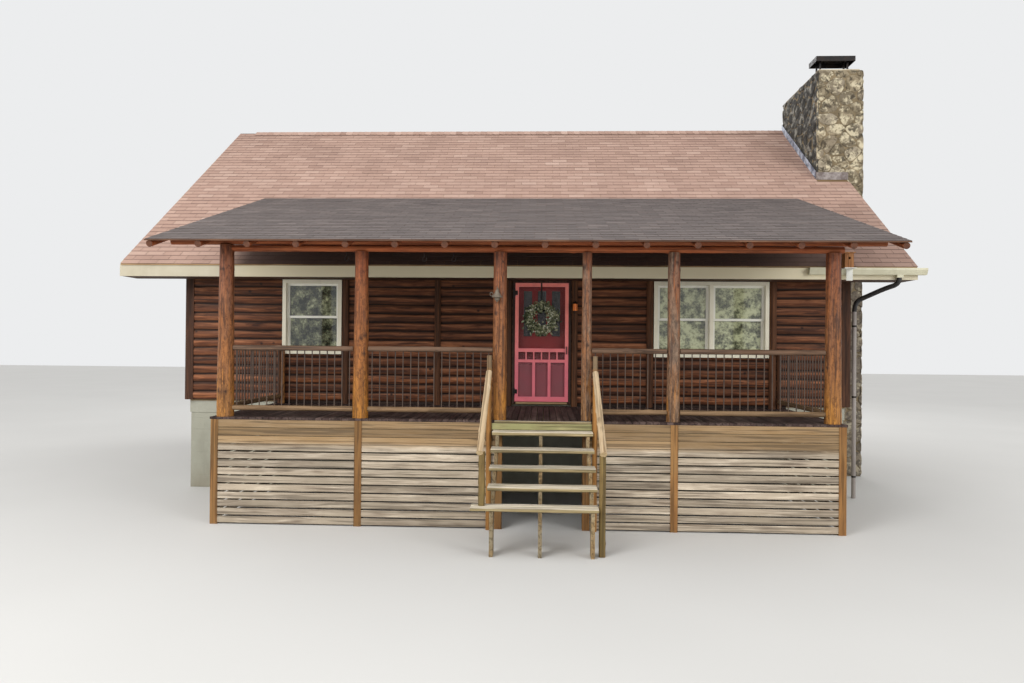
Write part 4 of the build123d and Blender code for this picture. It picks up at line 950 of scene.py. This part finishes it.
def roofs():
    """Shingles over both slopes of the main roof and over the porch roof."""
    inset = 0.004
    left, right = ROOF_LEFT + inset, ROOF_RIGHT - inset
    front, back = (-EAVE_REACH, EAVE_HEIGHT), (HOUSE_DEPTH + EAVE_REACH, EAVE_HEIGHT)

    def beside_stack(y):
        return STACK_INNER - 0.012 if y > CHIMNEY_FRONT - 0.1 else right

    for seed, (name, span, eave, ridge, cut, finish, slot) in enumerate((
        ("front_shingles", (left, right), front, RIDGE, beside_stack, shingle_paint, "shingles"),
        ("back_shingles", (left, right), back, RIDGE, None, shingle_paint, "shingles"),
        ("porch_shingles", PORCH_ROOF_SPAN, PORCH_EAVE, PORCH_RIDGE, None, porch_shingle_paint,
         "porch_shingles"),
    ), 1):
        surface = Surface()
        add_slope(surface, *span, eave, ridge, seed, cut)
        surface.piece(name, [finish, butt_shade_paint], slot)


def posts():
    """The six peeled porch posts: the first reaches the roof, the others carry the beam."""
    surface = Surface()
    for number, (x, foot, head, grey) in enumerate(POSTS):
        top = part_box("porch_posts")[1].z if number == 0 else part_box("porch_beam")[0].z + 0.004
        spot = frame_point(x, POST_LINE, 0)
        add_log(surface, (spot.x, spot.y, house.z), (spot.x, spot.y, top), (foot / 2, head / 2),
                20 + number, sides=28, step=0.035, wobble=0.05, knots=9, tone=grey)
    surface.piece("porch_post_logs", [post_paint, post_ends], "peeled_logs", replaces=("porch_posts",))


def beam_and_rafters():
    """The plate log under the round rafters, and the beam under it from post to post."""
    low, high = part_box("porch_beam")
    beam = Surface()
    y = (low.y + high.y) / 2
    plate, support = PLATE_DIAMETER / 2, BEAM_DIAMETER / 2
    add_log(beam, (low.x, y, high.z - plate), (high.x, y, high.z - plate), (plate, plate * 0.98),
            40, sides=20, knots=26, tone=0.1)
    start, end = frame_point(POSTS[0][0] + 0.06, 0, 0).x, frame_point(BEAM_RIGHT, 0, 0).x
    add_log(beam, (start, y, low.z + support), (end, y, low.z + support), (support * 0.98, support),
            41, sides=20, wobble=0.07, knots=30, tone=0.4)
    beam.piece("porch_beam_logs", [beam_paint, post_ends], "peeled_logs", replaces=("porch_beam",))

    rafters = Surface()
    low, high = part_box("porch_rafters")
    radius = RAFTER_DIAMETER / 2
    drop = (PORCH_ROOF_THICKNESS + radius + 0.0002) * sqrt(1 + PORCH_SLOPE ** 2)
    first, last = low.x + radius, high.x - radius
    for number in range(RAFTER_BAYS + 1):
        x = first + (last - first) * number / RAFTER_BAYS
        spots = [frame_point(0, y, PORCH_EAVE[1] + PORCH_SLOPE * (y - PORCH_EAVE[0]) - drop)
                 for y in (RAFTER_FOOT, RAFTER_HEAD)]
        add_log(rafters, *[(x, spot.y, spot.z) for spot in spots], (radius, radius * 0.97), 60 + number,
                sides=16, step=0.09, knots=8, tone=0.2)
    rafters.piece("porch_rafter_logs", [beam_paint, rafter_ends], "peeled_logs", replaces=("porch_rafters",))


def porch_floor():
    """Deck boards that run from the house to the front edge."""
    low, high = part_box("porch_deck")
    surface = Surface()
    count = round((high.x - low.x + DECK_GAP) / DECK_PITCH)
    step = (high.x - low.x + DECK_GAP) / count
    for number in range(count):
        x = low.x + step * number
        add_board(surface, Vector((x, low.y + 0.001, low.z)), Vector((x + step - DECK_GAP, high.y, high.z)),
                  1, 200 + number, chamfer=0.004, step=0.4)
    surface.piece("deck_planks", [deck_paint], "deck_boards", replaces=("porch_deck",))


def railings():
    """Top and bottom rails of peeled logs, cut flat below, and thin bars between them."""
    for number, side in enumerate(("front_1", "front_2", "front_3", "front_4", "left", "right")):
        node = "railing_" + side
        along = 0 if "front" in side else 1
        across = 1 - along
        low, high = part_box(node)
        surface = Surface()
        middle = (low[across] + high[across]) / 2
        start, end = low.copy(), high.copy()
        start[across] = end[across] = middle
        start.z = end.z = house.z + 0.970
        add_log(surface, start, end, (0.041, 0.040), 300 + number, wobble=0.07, knots=6, tone=0.35,
                flatten=0.86)
        upper = len(surface.faces)
        start.z = end.z = house.z + 0.122
        add_log(surface, start, end, (0.040, 0.039), 320 + number, sides=14, step=0.08, knots=3, tone=0.6,
                flatten=0.9)
        surface.kinds[upper:] = [3 if kind == 0 else kind for kind in surface.kinds[upper:]]
        length = high[along] - low[along]
        count = max(round(length / BAR_PITCH), 1)
        for bar in range(count):
            spot = low[along] + length * (bar + 0.5) / count
            foot, head = Vector((0, 0, house.z + 0.150)), Vector((0, 0, house.z + 0.945))
            foot[along], head[along] = spot - BAR_HALF, spot + BAR_HALF
            foot[across], head[across] = middle - BAR_HALF, middle + BAR_HALF
            add_board(surface, foot, head, 2, 340 + bar, chamfer=0.002, wobble=0.0, step=0.8, kind=2)
        surface.piece(node + "_peeled", [rail_paint, post_ends, bar_paint, lower_rail_paint], "peeled_logs",
                      replaces=(node,))


def railing_wall_post():
    """The short peeled post that ends the left railing at the wall."""
    spot = frame_point(-4.482, -0.052, 0)
    surface = Surface()
    add_log(surface, spot, spot + Vector((0, 0, 0.945)), (0.037, 0.035), 380, step=0.05, knots=4)
    surface.piece("railing_wall_post", [post_paint, post_ends], "peeled_logs")


def skirting():
    """Weathered boards with dark gaps between them, round the porch's foot."""
    courses, tight = 13, 3
    pitch = (1.5 - 0.035) / courses
    for number, side in enumerate(("front_left", "front_right", "left", "right")):
        node = "skirting_" + side
        along = 0 if "front" in side else 1
        low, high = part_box(node)
        surface = Surface()
        for course in range(courses):
            top = high.z - course * pitch
            foot = max(top - pitch + (0.003 if course < tight else 0.018), 0.0)
            for bay, (start, end) in enumerate(skirt_spans(low, high, along)):
                near, far = Vector((low.x, low.y, foot)), Vector((high.x, high.y, top))
                near[along], far[along] = start, end
                add_board(surface, near, far, along, 400 + number * 60 + course * 4 + bay,
                          chamfer=0.004, wobble=0.0022, step=0.12)
        surface.piece(node + "_boards", [skirt_paint], "weathered_boards", replaces=(node,))


def skirt_spans(low, high, along):
    """Where the boards of one side start and end, from post to post."""
    if along == 1:
        return [(low.y, high.y)]
    inner = [house.x + post[0] for post in POSTS[1:-1]]
    edges = [low.x] + [x for x in inner if low.x + 0.1 < x < high.x - 0.1] + [high.x]
    return [(start + (0.05 if start in inner else 0), end - (0.05 if end in inner else 0))
            for start, end in zip(edges, edges[1:])]


def stair():
    """Worn plank treads, the boards behind the top one, newels and the two peeled handrails."""
    low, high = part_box("stair_treads")
    depth, split, going, rise, thickness = 0.255, 0.010, 0.270, 0.1955, 0.050
    steps = 5
    plank = (depth - split) / 2
    treads = Surface()
    for number in range(steps):
        top = house.z - 0.125 - rise * number
        left = low.x if number == steps - 1 else house.x - 0.655
        for half in range(2):
            start = low.y + going * (steps - 1 - number) + half * (plank + split)
            add_board(treads, Vector((left, start, top - thickness)), Vector((high.x, start + plank, top)),
                      0, 500 + number * 2 + half, chamfer=0.009, wobble=0.004, step=0.06)
    treads.piece("tread_planks", [tread_paint], "weathered_boards", replaces=("stair_treads",))

    boards = Surface()
    add_house_board(boards, -0.676, 0.698, -2.474, -2.4525, -0.1245, -0.037, 0, 520, chamfer=0.004,
                    wobble=0.002, step=0.1)
    add_house_board(boards, -0.640, 0.690, -2.468, -2.4445, -0.036, -0.001, 0, 521, chamfer=0.005,
                    wobble=0.002, step=0.1, kind=1)
    boards.piece("stair_header", [header_paint, tread_paint], "weathered_boards")

    newels = Surface()
    floor, head, low_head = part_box("stair_newels")[0].z, house.z + 0.897, house.z - 0.250
    for number, (x, y, foot, top, diameter) in enumerate((
        (-0.716, DECK_FRONT - 0.0363, floor, head, 0.072),
        (0.738, DECK_FRONT - 0.0363, floor, head, 0.072),
        (-0.712, -3.6665, house.z - 0.907, low_head, 0.086),
        (0.748, -3.6665, floor, low_head, 0.086),
    )):
        spot = frame_point(x, y, 0)
        add_log(newels, (spot.x, spot.y, foot), (spot.x, spot.y, top), (diameter / 2, diameter / 2 * 0.97),
                540 + number, sides=20, step=0.04, knots=6, tone=0.3 + 0.15 * number)
        if number == 1:
            newels.kinds = [2] * len(newels.kinds)
    newels.piece("newel_logs", [newel_paint, pale_ends, upper_newel_paint], "pale_logs",
                 replaces=("stair_newels",))

    rails = Surface()
    for side, (upper, lower) in enumerate(((-0.716, -0.735), (0.738, 0.754))):
        start = frame_point(upper, DECK_FRONT - 0.076, 0.700 - 0.032)
        end = frame_point(lower, -3.7265, -0.263)
        add_log(rails, start, end, (0.042, 0.043), 530 + side, sides=22, step=0.035, knots=12, tone=0.7)
    rails.piece("handrail_logs", [pale_paint, pale_ends], "pale_logs", replaces=("handrails",))


def wall_foot():
    """A dark board along the foot of the logs, above the porch floor: painted shade where the wall meets the
    floor.
    """
    surface = Surface()
    for number, (x0, x1) in enumerate(((-4.64, -0.56), (0.56, 4.15))):
        add_house_board(surface, x0, x1, 0.030, 0.081, 0.0005, 0.0435, 0, 600 + number, chamfer=0.004,
                        step=0.3)
    surface.piece("wall_foot_boards", [foot_paint], "logs")


def ridge_caps():
    """Shingle caps folded over the ridge vent."""
    low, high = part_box("ridge_vent")
    chance = random.Random(31)
    surface = Surface()
    middle = (low.y + high.y) / 2
    half = (high.y - low.y) / 2 + 0.012
    x = low.x - 0.010
    while x < high.x - 0.02:
        tone = tone_near(chance, 0.6, 0.15)
        rows = []
        for spot, lift in ((x, 0.006), (min(x + 0.165, high.x + 0.002), 0.001)):
            row = []
            for across, drop in ((-half, 0.012), (-half, 0.0), (0.0, 0.0), (half, 0.0), (half, 0.012)):
                fall = abs(across) * ROOF_SLOPE
                place = Vector((spot, middle + across, high.z + lift - fall - drop))
                row.append(surface.point(place, place, tone, crown=1))
            rows.append(row)
        x += SHINGLE_EXPOSURE
        surface.bridge(rows, closed=False)
        # Each cap's front edge takes the second finish, dark as painted shade.
        surface.face(*rows[0], kind=1)
    surface.piece("ridge_cap_shingles", [shingle_paint, butt_shade_paint], "shingles")


def part_way(first, second, share):
    """A place on the line from one corner of an outline to the next."""
    return (first[0] + (second[0] - first[0]) * share, first[1] + (second[1] - first[1]) * share)


def clip(outline, place, normal):
    """The part of an outline behind a line."""
    kept = []
    for first, second in zip(outline, outline[1:] + outline[:1]):
        a = (first[0] - place[0]) * normal[0] + (first[1] - place[1]) * normal[1]
        b = (second[0] - place[0]) * normal[0] + (second[1] - place[1]) * normal[1]
        if a <= 0:
            kept.append(first)
        if a * b < 0:
            kept.append(part_way(first, second, a / (a - b)))
    return kept


def round_off(outline):
    """An outline with each corner cut."""
    return [part_way(first, second, share)
            for first, second in zip(outline, outline[1:] + outline[:1]) for share in (0.22, 0.78)]


def stone_shapes(chance, outline):
    """Irregular shapes that fill an outline up to a mortar joint: one cell round each strewn point."""
    us, vs = zip(*outline)
    strewn = {}
    for i in range(int((max(us) - min(us)) / STONE_WIDTH) + 4):
        for j in range(int((max(vs) - min(vs)) / STONE_HEIGHT) + 4):
            u = min(us) + (i - 1.5 + 0.5 * (j % 2) + chance.uniform(-0.36, 0.36)) * STONE_WIDTH
            v = min(vs) + (j - 1.5 + chance.uniform(-0.38, 0.38)) * STONE_HEIGHT
            strewn[i, j] = (u, v)
    around = [(di, dj) for di in range(-2, 3) for dj in range(-2, 3) if di or dj]
    for (i, j), (u, v) in strewn.items():
        shape = list(outline)
        for di, dj in around:
            other = strewn.get((i + di, j + dj))
            if other is None or len(shape) < 3:
                continue
            gap = Vector((other[0] - u, other[1] - v))
            reach = gap.length / 2 - MORTAR_JOINT / 2
            gap.normalize()
            shape = clip(shape, (u + gap.x * reach, v + gap.y * reach), gap)
        if len(shape) < 3:
            continue
        middle = (sum(a for a, b in shape) / len(shape), sum(b for a, b in shape) / len(shape))
        if max(hypot(a - middle[0], b - middle[1]) for a, b in shape) >= 0.05:
            yield middle, round_off(round_off(shape))


def add_rubble(surface, origin, across, up, out, outline, seed, grey=0.0):
    """Irregular stones set in one flat face of the chimney, each with its own tone and swell; grey lays
    painted shade over the whole face.
    """
    chance = random.Random(seed)
    for middle, shape in stone_shapes(chance, outline):
        tone = chance.random()
        swell = chance.uniform(0.0, 0.016)
        tilt = Vector((chance.uniform(-0.02, 0.02), chance.uniform(-0.02, 0.02)))
        shift = Vector((chance.uniform(0, 30), chance.uniform(0, 30), 0))
        rings = []
        for scale, depth in ((1.0, STONE_RELIEF + 0.004), (0.99, STONE_RELIEF * 0.5), (0.9, 0.006),
                             (0.7, 0.001), (0.4, 0.0)):
            ring = []
            for a, b in shape:
                a, b = middle[0] + (a - middle[0]) * scale, middle[1] + (b - middle[1]) * scale
                rough = noise.noise(Vector((a * 12, b * 12, seed)) + shift) * 0.016
                lean = (a - middle[0]) * tilt.x + (b - middle[1]) * tilt.y
                sunk = depth if scale == 1.0 else max(depth + swell + rough + lean, 0.0)
                place = origin + across * a + up * b - out * sunk
                ring.append(surface.point(place, place + shift, tone, knot=grey))
            rings.append(ring)
        surface.bridge(rings)
        hub = origin + across * middle[0] + up * middle[1] - out * swell
        surface.fan(rings[-1], surface.point(hub, hub + shift, tone, knot=grey))


def chimney():
    """Rubble stones on a mortar core, a rounded mortar crown and the dark flue."""
    inner, stack, outer, front, back = WALL_RIGHT, STACK_INNER, CHIMNEY_OUTER, CHIMNEY_FRONT, CHIMNEY_BACK
    ground, shoulder_low, shoulder_high, crown = -1.5, 3.250, 3.700, 0.045
    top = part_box("chimney")[1].z - house.z - crown
    stones = Surface()
    lower = [(inner, ground), (outer, ground), (outer, shoulder_high), (stack, shoulder_high),
             (inner, shoulder_low)]
    upper = [(stack, shoulder_high), (outer, shoulder_high), (outer, top), (stack, top)]
    side = [(front, ground), (back, ground), (back, top), (front, top)]
    inside = [(front, shoulder_high), (back, shoulder_high), (back, top), (front, top)]
    x_axis, y_axis, z_axis = Vector((1, 0, 0)), Vector((0, 1, 0)), Vector((0, 0, 1))
    for number, (y, out) in enumerate(((front, -y_axis), (back, y_axis))):
        for outline, seed in ((lower, 700), (upper, 710)):
            add_rubble(stones, frame_point(0, y, 0), x_axis, z_axis, out, outline, seed + number)
    add_rubble(stones, frame_point(outer, 0, 0), y_axis, z_axis, x_axis, side, 720)
    # The inner face, toward the house, gets painted shade.
    add_rubble(stones, frame_point(stack, 0, 0), y_axis, z_axis, -x_axis, inside, 721, grey=1.0)

    relief = STONE_RELIEF
    profile = (
        (inner, ground), (outer - relief, ground), (outer - relief, top), (stack + relief, top),
        (stack + relief, shoulder_high + 0.01), (inner, shoulder_low - 0.02),
    )
    rows = []
    for y in (front + relief, back - relief):
        rows.append([stones.point(frame_point(x, y, z), frame_point(x, y, z)) for x, z in profile])
    stones.bridge(rows, kind=1)
    for row in rows:
        stones.face(*row, kind=1)

    half, flue, edge, lip, thick = 0.165, 0.450, 0.060, 0.01, 0.020
    left, right = (stack + outer) / 2 - half, (stack + outer) / 2 + half
    near, far = front + flue - half, front + flue + half
    x0, x1, y0, y1 = stack + edge, outer - edge, front + edge, back - edge
    crown_top = top + crown
    for number, (a0, a1, b0, b1) in enumerate((
        (x0, x1, y0, near), (x0, x1, far, y1),
        (x0, left, near - lip, far + lip), (right, x1, near - lip, far + lip),
    )):
        add_house_board(stones, a0, a1, b0, b1, top - 0.030, crown_top, 0, 730 + number, chamfer=0.018,
                        wobble=0.004, step=0.08, kind=2)
    stones.piece("chimney_stones", [stone_paint, mortar_paint, crown_paint, flue_paint], "stone",
                 replaces=("chimney",), sharp=50)

    lining = Surface()
    for number, (a0, a1, b0, b1) in enumerate((
        (left, right, near, near + thick), (left, right, far - thick, far),
        (left, left + thick, near, far), (right - thick, right, near, far),
    )):
        add_house_board(lining, a0, a1, b0, b1, top + 0.001, crown_top + 0.020, 2, 740 + number,
                        chamfer=0.004)
    add_house_board(lining, left, right, near, far, top + 0.0005, top + 0.004, 0, 745, kind=1)
    lining.piece("flue_lining", [flue_paint, soot_paint], "stone")


def add_turned(surface, centre, profile, sides=24, kind=0):
    """A turned shape about an upright axis, from pairs of radius and height."""
    rows = []
    for radius, height in profile:
        row = []
        for part in range(sides):
            angle = 2 * pi * part / sides
            place = centre + Vector((cos(angle) * radius, sin(angle) * radius, height))
            row.append(surface.point(place, place))
        rows.append(row)
    surface.bridge(rows, kind=kind)


def add_tube(surface, path, radius, sides=10, tone=0.5, kind=0, ripple=0.0, pitch=0.02):
    """A pipe along a path of points, with ring-shaped ripples where ripple isn't 0."""
    rows = []
    travelled = 0.0
    side = None
    for number, place in enumerate(path):
        before, after = path[max(number - 1, 0)], path[min(number + 1, len(path) - 1)]
        travelled += (place - before).length
        along = (after - before).normalized()
        if side is None:
            side = along.orthogonal().normalized()
        side = (side - along * side.dot(along)).normalized()
        up = along.cross(side)
        reach = radius * (1 + ripple * cos(2 * pi * travelled / pitch))
        row = []
        for part in range(sides):
            angle = 2 * pi * part / sides
            spot = place + side * cos(angle) * reach + up * sin(angle) * reach
            row.append(surface.point(spot, spot, tone))
        rows.append(row)
    surface.bridge(rows, kind=kind)
    surface.face(*rows[0], kind=kind)
    surface.face(*rows[-1], kind=kind)


def curve_through(points, step):
    """Evenly spaced points on a smooth curve that starts and ends on the first and last point."""
    data = bpy.data.curves.new("path", "CURVE")
    data.dimensions = "3D"
    spline = data.splines.new("NURBS")
    spline.points.add(len(points) - 1)
    for made, place in zip(spline.points, points):
        made.co = (*place, 1)
    spline.order_u = 3
    spline.use_endpoint_u = True
    spline.resolution_u = 24
    holder = bpy.data.objects.new("path", data)
    mesh = bpy.data.meshes.new_from_object(holder)
    places = [vertex.co.copy() for vertex in mesh.vertices]
    bpy.data.objects.remove(holder)
    bpy.data.meshes.remove(mesh)
    kept = [places[0]]
    for first, second in zip(places, places[1:]):
        count = max(1, round((second - first).length / step))
        kept += [first.lerp(second, part / count) for part in range(1, count + 1)]
    return kept


def downspout():
    """A corrugated elbow from the gutter to the wall, and a straight pipe with straps below it."""
    low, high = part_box("downspout")
    inset = 0.038
    outlet = Vector((high.x - inset, low.y + inset, high.z))
    turn, foot = house.z + 1.800, low.z

    def by_wall(height):
        return Vector((low.x + inset, high.y - inset, height))

    path = curve_through((
        outlet, outlet - Vector((0, 0, 0.10)), outlet.lerp(by_wall(turn), 0.30) - Vector((0, 0, 0.04)),
        outlet.lerp(by_wall(turn), 0.72), by_wall(turn + 0.03), by_wall(turn - 0.14),
    ), 0.0045)
    elbow = Surface()
    add_tube(elbow, path, 0.0385, sides=24, ripple=0.07, pitch=0.022)
    elbow.piece("downspout_elbow", [elbow_paint], "spout", replaces=("downspout",))
    pipe = Surface()
    add_turned(pipe, by_wall(foot), (
        (0.031, 0.0), (0.034, 0.002), (0.034, turn - 0.10 - foot), (0.031, turn - 0.098 - foot),
    ))
    for strap in (0.35, 1.7, 2.9):
        add_turned(pipe, by_wall(foot + strap), (
            (0.034, 0.0), (0.0365, 0.001), (0.0365, 0.029), (0.034, 0.030),
        ), kind=1)
    pipe.piece("downspout_pipe", [pipe_paint, dark_metal], "spout")


def lantern():
    """The wall lantern: dark frame and pointed roof round amber glass."""
    low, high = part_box("wall_lantern")
    x = (low.x + high.x) / 2
    glass_low, glass_height = house.z + 1.630, 0.120
    base = Vector((x, low.y + 0.060 * cos(radians(30)), glass_low))
    metalwork, glass = Surface(), Surface()
    add_turned(metalwork, base - Vector((0, 0, 0.016)), (
        (0.004, 0.0), (0.030, 0.0), (0.041, 0.006), (0.041, 0.016), (0.030, 0.017), (0.004, 0.017),
    ), sides=6)
    add_turned(metalwork, base + Vector((0, 0, glass_height)), (
        (0.004, -0.001), (0.057, 0.0), (0.059, 0.003), (0.043, 0.022), (0.028, 0.034), (0.012, 0.042),
        (0.009, 0.046), (0.012, 0.050), (0.004, 0.055),
    ), sides=6)
    for part in range(6):
        angle = 2 * pi * part / 6
        corner = base + Vector((cos(angle) * 0.0385, sin(angle) * 0.0385, 0))
        add_turned(metalwork, corner, ((0.0032, 0.0), (0.0032, glass_height)), sides=8)
    plate = Vector((x, high.y, house.z + 1.690))
    add_board(metalwork, plate - Vector((0.028, 0.010, 0.075)), plate + Vector((0.028, 0, 0.075)), 2, 3,
              wobble=0)
    arm = curve_through((
        plate + Vector((0, -0.008, -0.052)), base + Vector((0, 0.045, -0.055)), base - Vector((0, 0, 0.052)),
        base - Vector((0, 0, 0.012)),
    ), 0.004)
    add_tube(metalwork, arm, 0.006, sides=12)
    metalwork.piece("lantern_frame", [dark_metal], "dark_metal", replaces=("wall_lantern",))
    add_turned(glass, base, ((0.036, 0.001), (0.038, 0.119)), sides=6)
    add_turned(glass, base, ((0.004, 0.002), (0.014, 0.012), (0.018, 0.06), (0.012, 0.085), (0.003, 0.1)))
    glass.piece("lantern_glass", [glow_paint], "dark_metal")


def post_lamp():
    """A small weathered tin lamp on the post to the left of the steps, and hooks in the beam."""
    surface = Surface()
    at = frame_point(-0.619, POST_LINE - 0.150, 1.690)
    add_turned(surface, at, (
        (0.004, 0.118), (0.014, 0.116), (0.022, 0.104), (0.030, 0.078), (0.052, 0.040), (0.068, 0.018),
        (0.071, 0.012), (0.069, 0.006), (0.064, 0.010), (0.040, 0.020), (0.036, 0.012), (0.036, -0.022),
        (0.030, -0.034), (0.014, -0.040), (0.012, -0.052), (0.004, -0.056),
    ), sides=28)
    bend = curve_through([at + Vector(step) for step in (
        (0, 0, 0.112), (0, 0, 0.150), (0, 0.055, 0.155), (0.02, 0.060, 0.105),
    )], 0.005)
    add_tube(surface, bend, 0.0055)
    turns = [2 * pi * part / 24 for part in range(25)]
    loop = [at + Vector((-0.078 - 0.020 * cos(turn), 0.010, 0.052 + 0.026 * sin(turn))) for turn in turns]
    add_tube(surface, loop, 0.004, sides=8)
    surface.piece("post_lamp", [tin_paint], "dark_metal")

    hooks = Surface()
    for x in (-2.760, -1.655, -1.240):
        top = Vector((house.x + x, house.y + POST_LINE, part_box("porch_beam")[0].z + 0.012))
        hook = curve_through([top + Vector(step) for step in (
            (0, 0, 0), (0, 0, -0.05), (-0.004, 0, -0.075), (-0.034, 0, -0.105), (-0.006, 0, -0.150),
            (0.032, 0, -0.115), (0.026, 0, -0.085),
        )], 0.006)
        add_tube(hooks, hook, 0.0045, sides=8)
    hooks.piece("beam_hooks", [dark_metal], "dark_metal")


def wreath():
    """A wreath of leaves and small pale flowers on the screen door, on a black hanger."""
    chance = random.Random(17)
    front = door_low.y
    centre = Vector((house.x - 0.008, front - 0.045, house.z + 1.505))
    strands, leaves, flowers = 5, 1080, 70
    surface = Surface()
    for strand in range(strands):
        path = []
        for part in range(73):
            angle = 2 * pi * part / 72
            twist = angle * 7 + strand * 1.26
            reach = 0.185 + 0.016 * cos(twist)
            depth = 0.018 * sin(twist) + 0.012
            path.append(centre + Vector((cos(angle) * reach, depth, sin(angle) * reach)))
        add_tube(surface, path, 0.005, sides=6, tone=chance.random(), kind=1)
    for number in range(leaves):
        add_leaf(surface, chance, centre, front)
    for number in range(flowers):
        angle = chance.uniform(0, 2 * pi)
        ring = 0.2 + chance.gauss(0, 0.04)
        hub = centre + Vector((cos(angle) * ring, -0.04 - chance.uniform(0, 0.008), sin(angle) * ring))
        for petal in range(5):
            turn = 2 * pi * petal / 5 + number
            spots = [hub]
            for lean, reach, rise in ((-0.5, 0.009, -0.003), (0.0, 0.014, -0.001), (0.5, 0.009, -0.003)):
                spots.append(hub + Vector((cos(turn + lean) * reach, rise, sin(turn + lean) * reach)))
            surface.face(*[surface.point(spot, spot, 0.9, crown=1) for spot in spots], kind=2)
    surface.piece("door_wreath", [leaf_paint, twig_paint, blossom_paint], body=door_body)

    strap = Surface()
    left, right, top = house.x - 0.021, house.x + 0.005, door_high.z
    add_board(strap, Vector((left, front - 0.003, top - 0.290)), Vector((right, front - 0.001, top)), 2, 4,
              chamfer=0.0005, wobble=0)
    add_board(strap, Vector((left, front - 0.003, top)), Vector((right, front + 0.004, top + 0.0015)), 1, 5,
              chamfer=0.0005, wobble=0)
    strap.piece("wreath_hanger", [dark_metal], "dark_metal", body=door_body)


def add_leaf(surface, chance, centre, front):
    """One folded leaf that leans out of the wreath, kept clear of the door behind it."""
    angle = chance.uniform(0, 2 * pi)
    ring = 0.200 + chance.gauss(0, 0.040)
    outward = Vector((cos(angle), 0, sin(angle)))
    around = Vector((-sin(angle), 0, cos(angle)))
    root = centre + outward * ring + Vector((0, chance.uniform(-0.042, 0.026), 0))
    lean = outward * chance.uniform(-0.5, 1.1) + around * chance.uniform(-0.2, 1.2)
    lean += Vector((0, chance.uniform(-0.7, 0.1), 0))
    lean.normalize()
    across = lean.cross(Vector((chance.uniform(-0.4, 0.4), -1, chance.uniform(-0.4, 0.4)))).normalized()
    rise = across.cross(lean).normalized()
    length, width = chance.uniform(0.040, 0.072), chance.uniform(0.009, 0.016)
    tone = tone_near(chance, 0.54, 0.33)
    rows = []
    for share, half, lift in ((0, 0.1, 0), (0.35, 1.0, 0.1), (0.75, 0.75, 0.08), (1.0, 0.05, -0.05)):
        row = []
        for hand in (-1, 0, 1):
            bend = lift + (0.16 if hand == 0 else 0)
            spot = root + lean * length * share + across * width * half * hand + rise * width * bend * 2
            spot.y = max(min(spot.y, front - 0.004), front - 0.098)
            row.append(surface.point(spot, spot, tone, crown=1))
        rows.append(row)
    surface.bridge(rows, closed=False)


# Studio

def camera_and_lights():
    """The photograph's camera, and soft studio light."""
    scene = bpy.context.scene
    yaw, pitch, roll = CAMERA_TURN
    level = Vector((-sin(yaw), cos(yaw), 0))
    right = Vector((cos(yaw), sin(yaw), 0))
    forward = level * cos(pitch) + Vector((0, 0, 1)) * sin(pitch)
    upward = Vector((0, 0, 1)) * cos(pitch) - level * sin(pitch)
    across = right * cos(roll) + upward * sin(roll)
    upright = upward * cos(roll) - right * sin(roll)
    data = bpy.data.cameras.new("photo_camera")
    data.sensor_width = 36
    data.lens = CAMERA_LENS
    data.clip_end = 200
    camera = bpy.data.objects.new("photo_camera", data)
    scene.collection.objects.link(camera)
    turn = Matrix((across, upright, -forward)).transposed().to_4x4()
    camera.matrix_world = Matrix.Translation(frame_point(*CAMERA_PLACE)) @ turn
    scene.camera = camera

    for name, place, size, power in LAMPS:
        lamp = bpy.data.lights.new(name, "AREA")
        lamp.shape = "DISK"
        lamp.size = size
        lamp.energy = power
        holder = bpy.data.objects.new(name, lamp)
        holder.location = place
        holder.rotation_euler = (Vector(LAMPS_AIM) - Vector(place)).to_track_quat("-Z", "Y").to_euler()
        scene.collection.objects.link(holder)
    scene.world = studio_world()
    scene.view_settings.view_transform = "Standard"


def studio_world():
    """White light from all round, seen by the camera, metal and glass as a pale background."""
    world = bpy.data.worlds.new("studio")
    world.use_nodes = True
    tree = world.node_tree
    light = tree.nodes["Background"]
    seen = tree.nodes.new("ShaderNodeBackground")
    for background, shade in ((light, (1, 1, 1, 1)), (seen, colour((236, 237, 238)))):
        background.inputs["Color"].default_value = shade
        background.inputs["Strength"].default_value = 1.0
    path = tree.nodes.new("ShaderNodeLightPath")
    rays = path.outputs["Is Camera Ray"]
    for other in ("Is Glossy Ray", "Is Transmission Ray"):
        either = tree.nodes.new("ShaderNodeMath")
        either.operation = "MAXIMUM"
        tree.links.new(rays, either.inputs[0])
        tree.links.new(path.outputs[other], either.inputs[1])
        rays = either.outputs[0]
    chosen = tree.nodes.new("ShaderNodeMixShader")
    for number, socket in enumerate((rays, light.outputs[0], seen.outputs[0])):
        tree.links.new(socket, chosen.inputs[number])
    tree.links.new(chosen.outputs[0], tree.nodes["World Output"].inputs[0])
    return world


def studio_floor():
    """A pale floor, a little cloudy."""
    paint = Finish("studio_floor", 0.8)
    cloudy = paint.noise(paint.place(), 0.3, 2)
    paint.base = paint.ramp(cloudy, *spaced((196, 195, 192), (204, 203, 200)))
    mesh = bpy.data.meshes.new("studio_floor")
    reach = FLOOR_REACH
    mesh.from_pydata([(-reach, -reach, 0), (reach, -reach, 0), (reach, reach, 0), (-reach, reach, 0)],
                     [], [(0, 1, 2, 3)])
    mesh.materials.append(paint.finish())
    floor = bpy.data.objects.new("studio_floor", mesh)
    bpy.context.scene.collection.objects.link(floor)


for make in (
    camera_and_lights, studio_floor, dress_nodes, walls, roofs, posts, beam_and_rafters, porch_floor,
    railings, railing_wall_post, skirting, stair, wall_foot, ridge_caps, chimney, downspout, lantern,
    post_lamp, wreath,
):
    make()
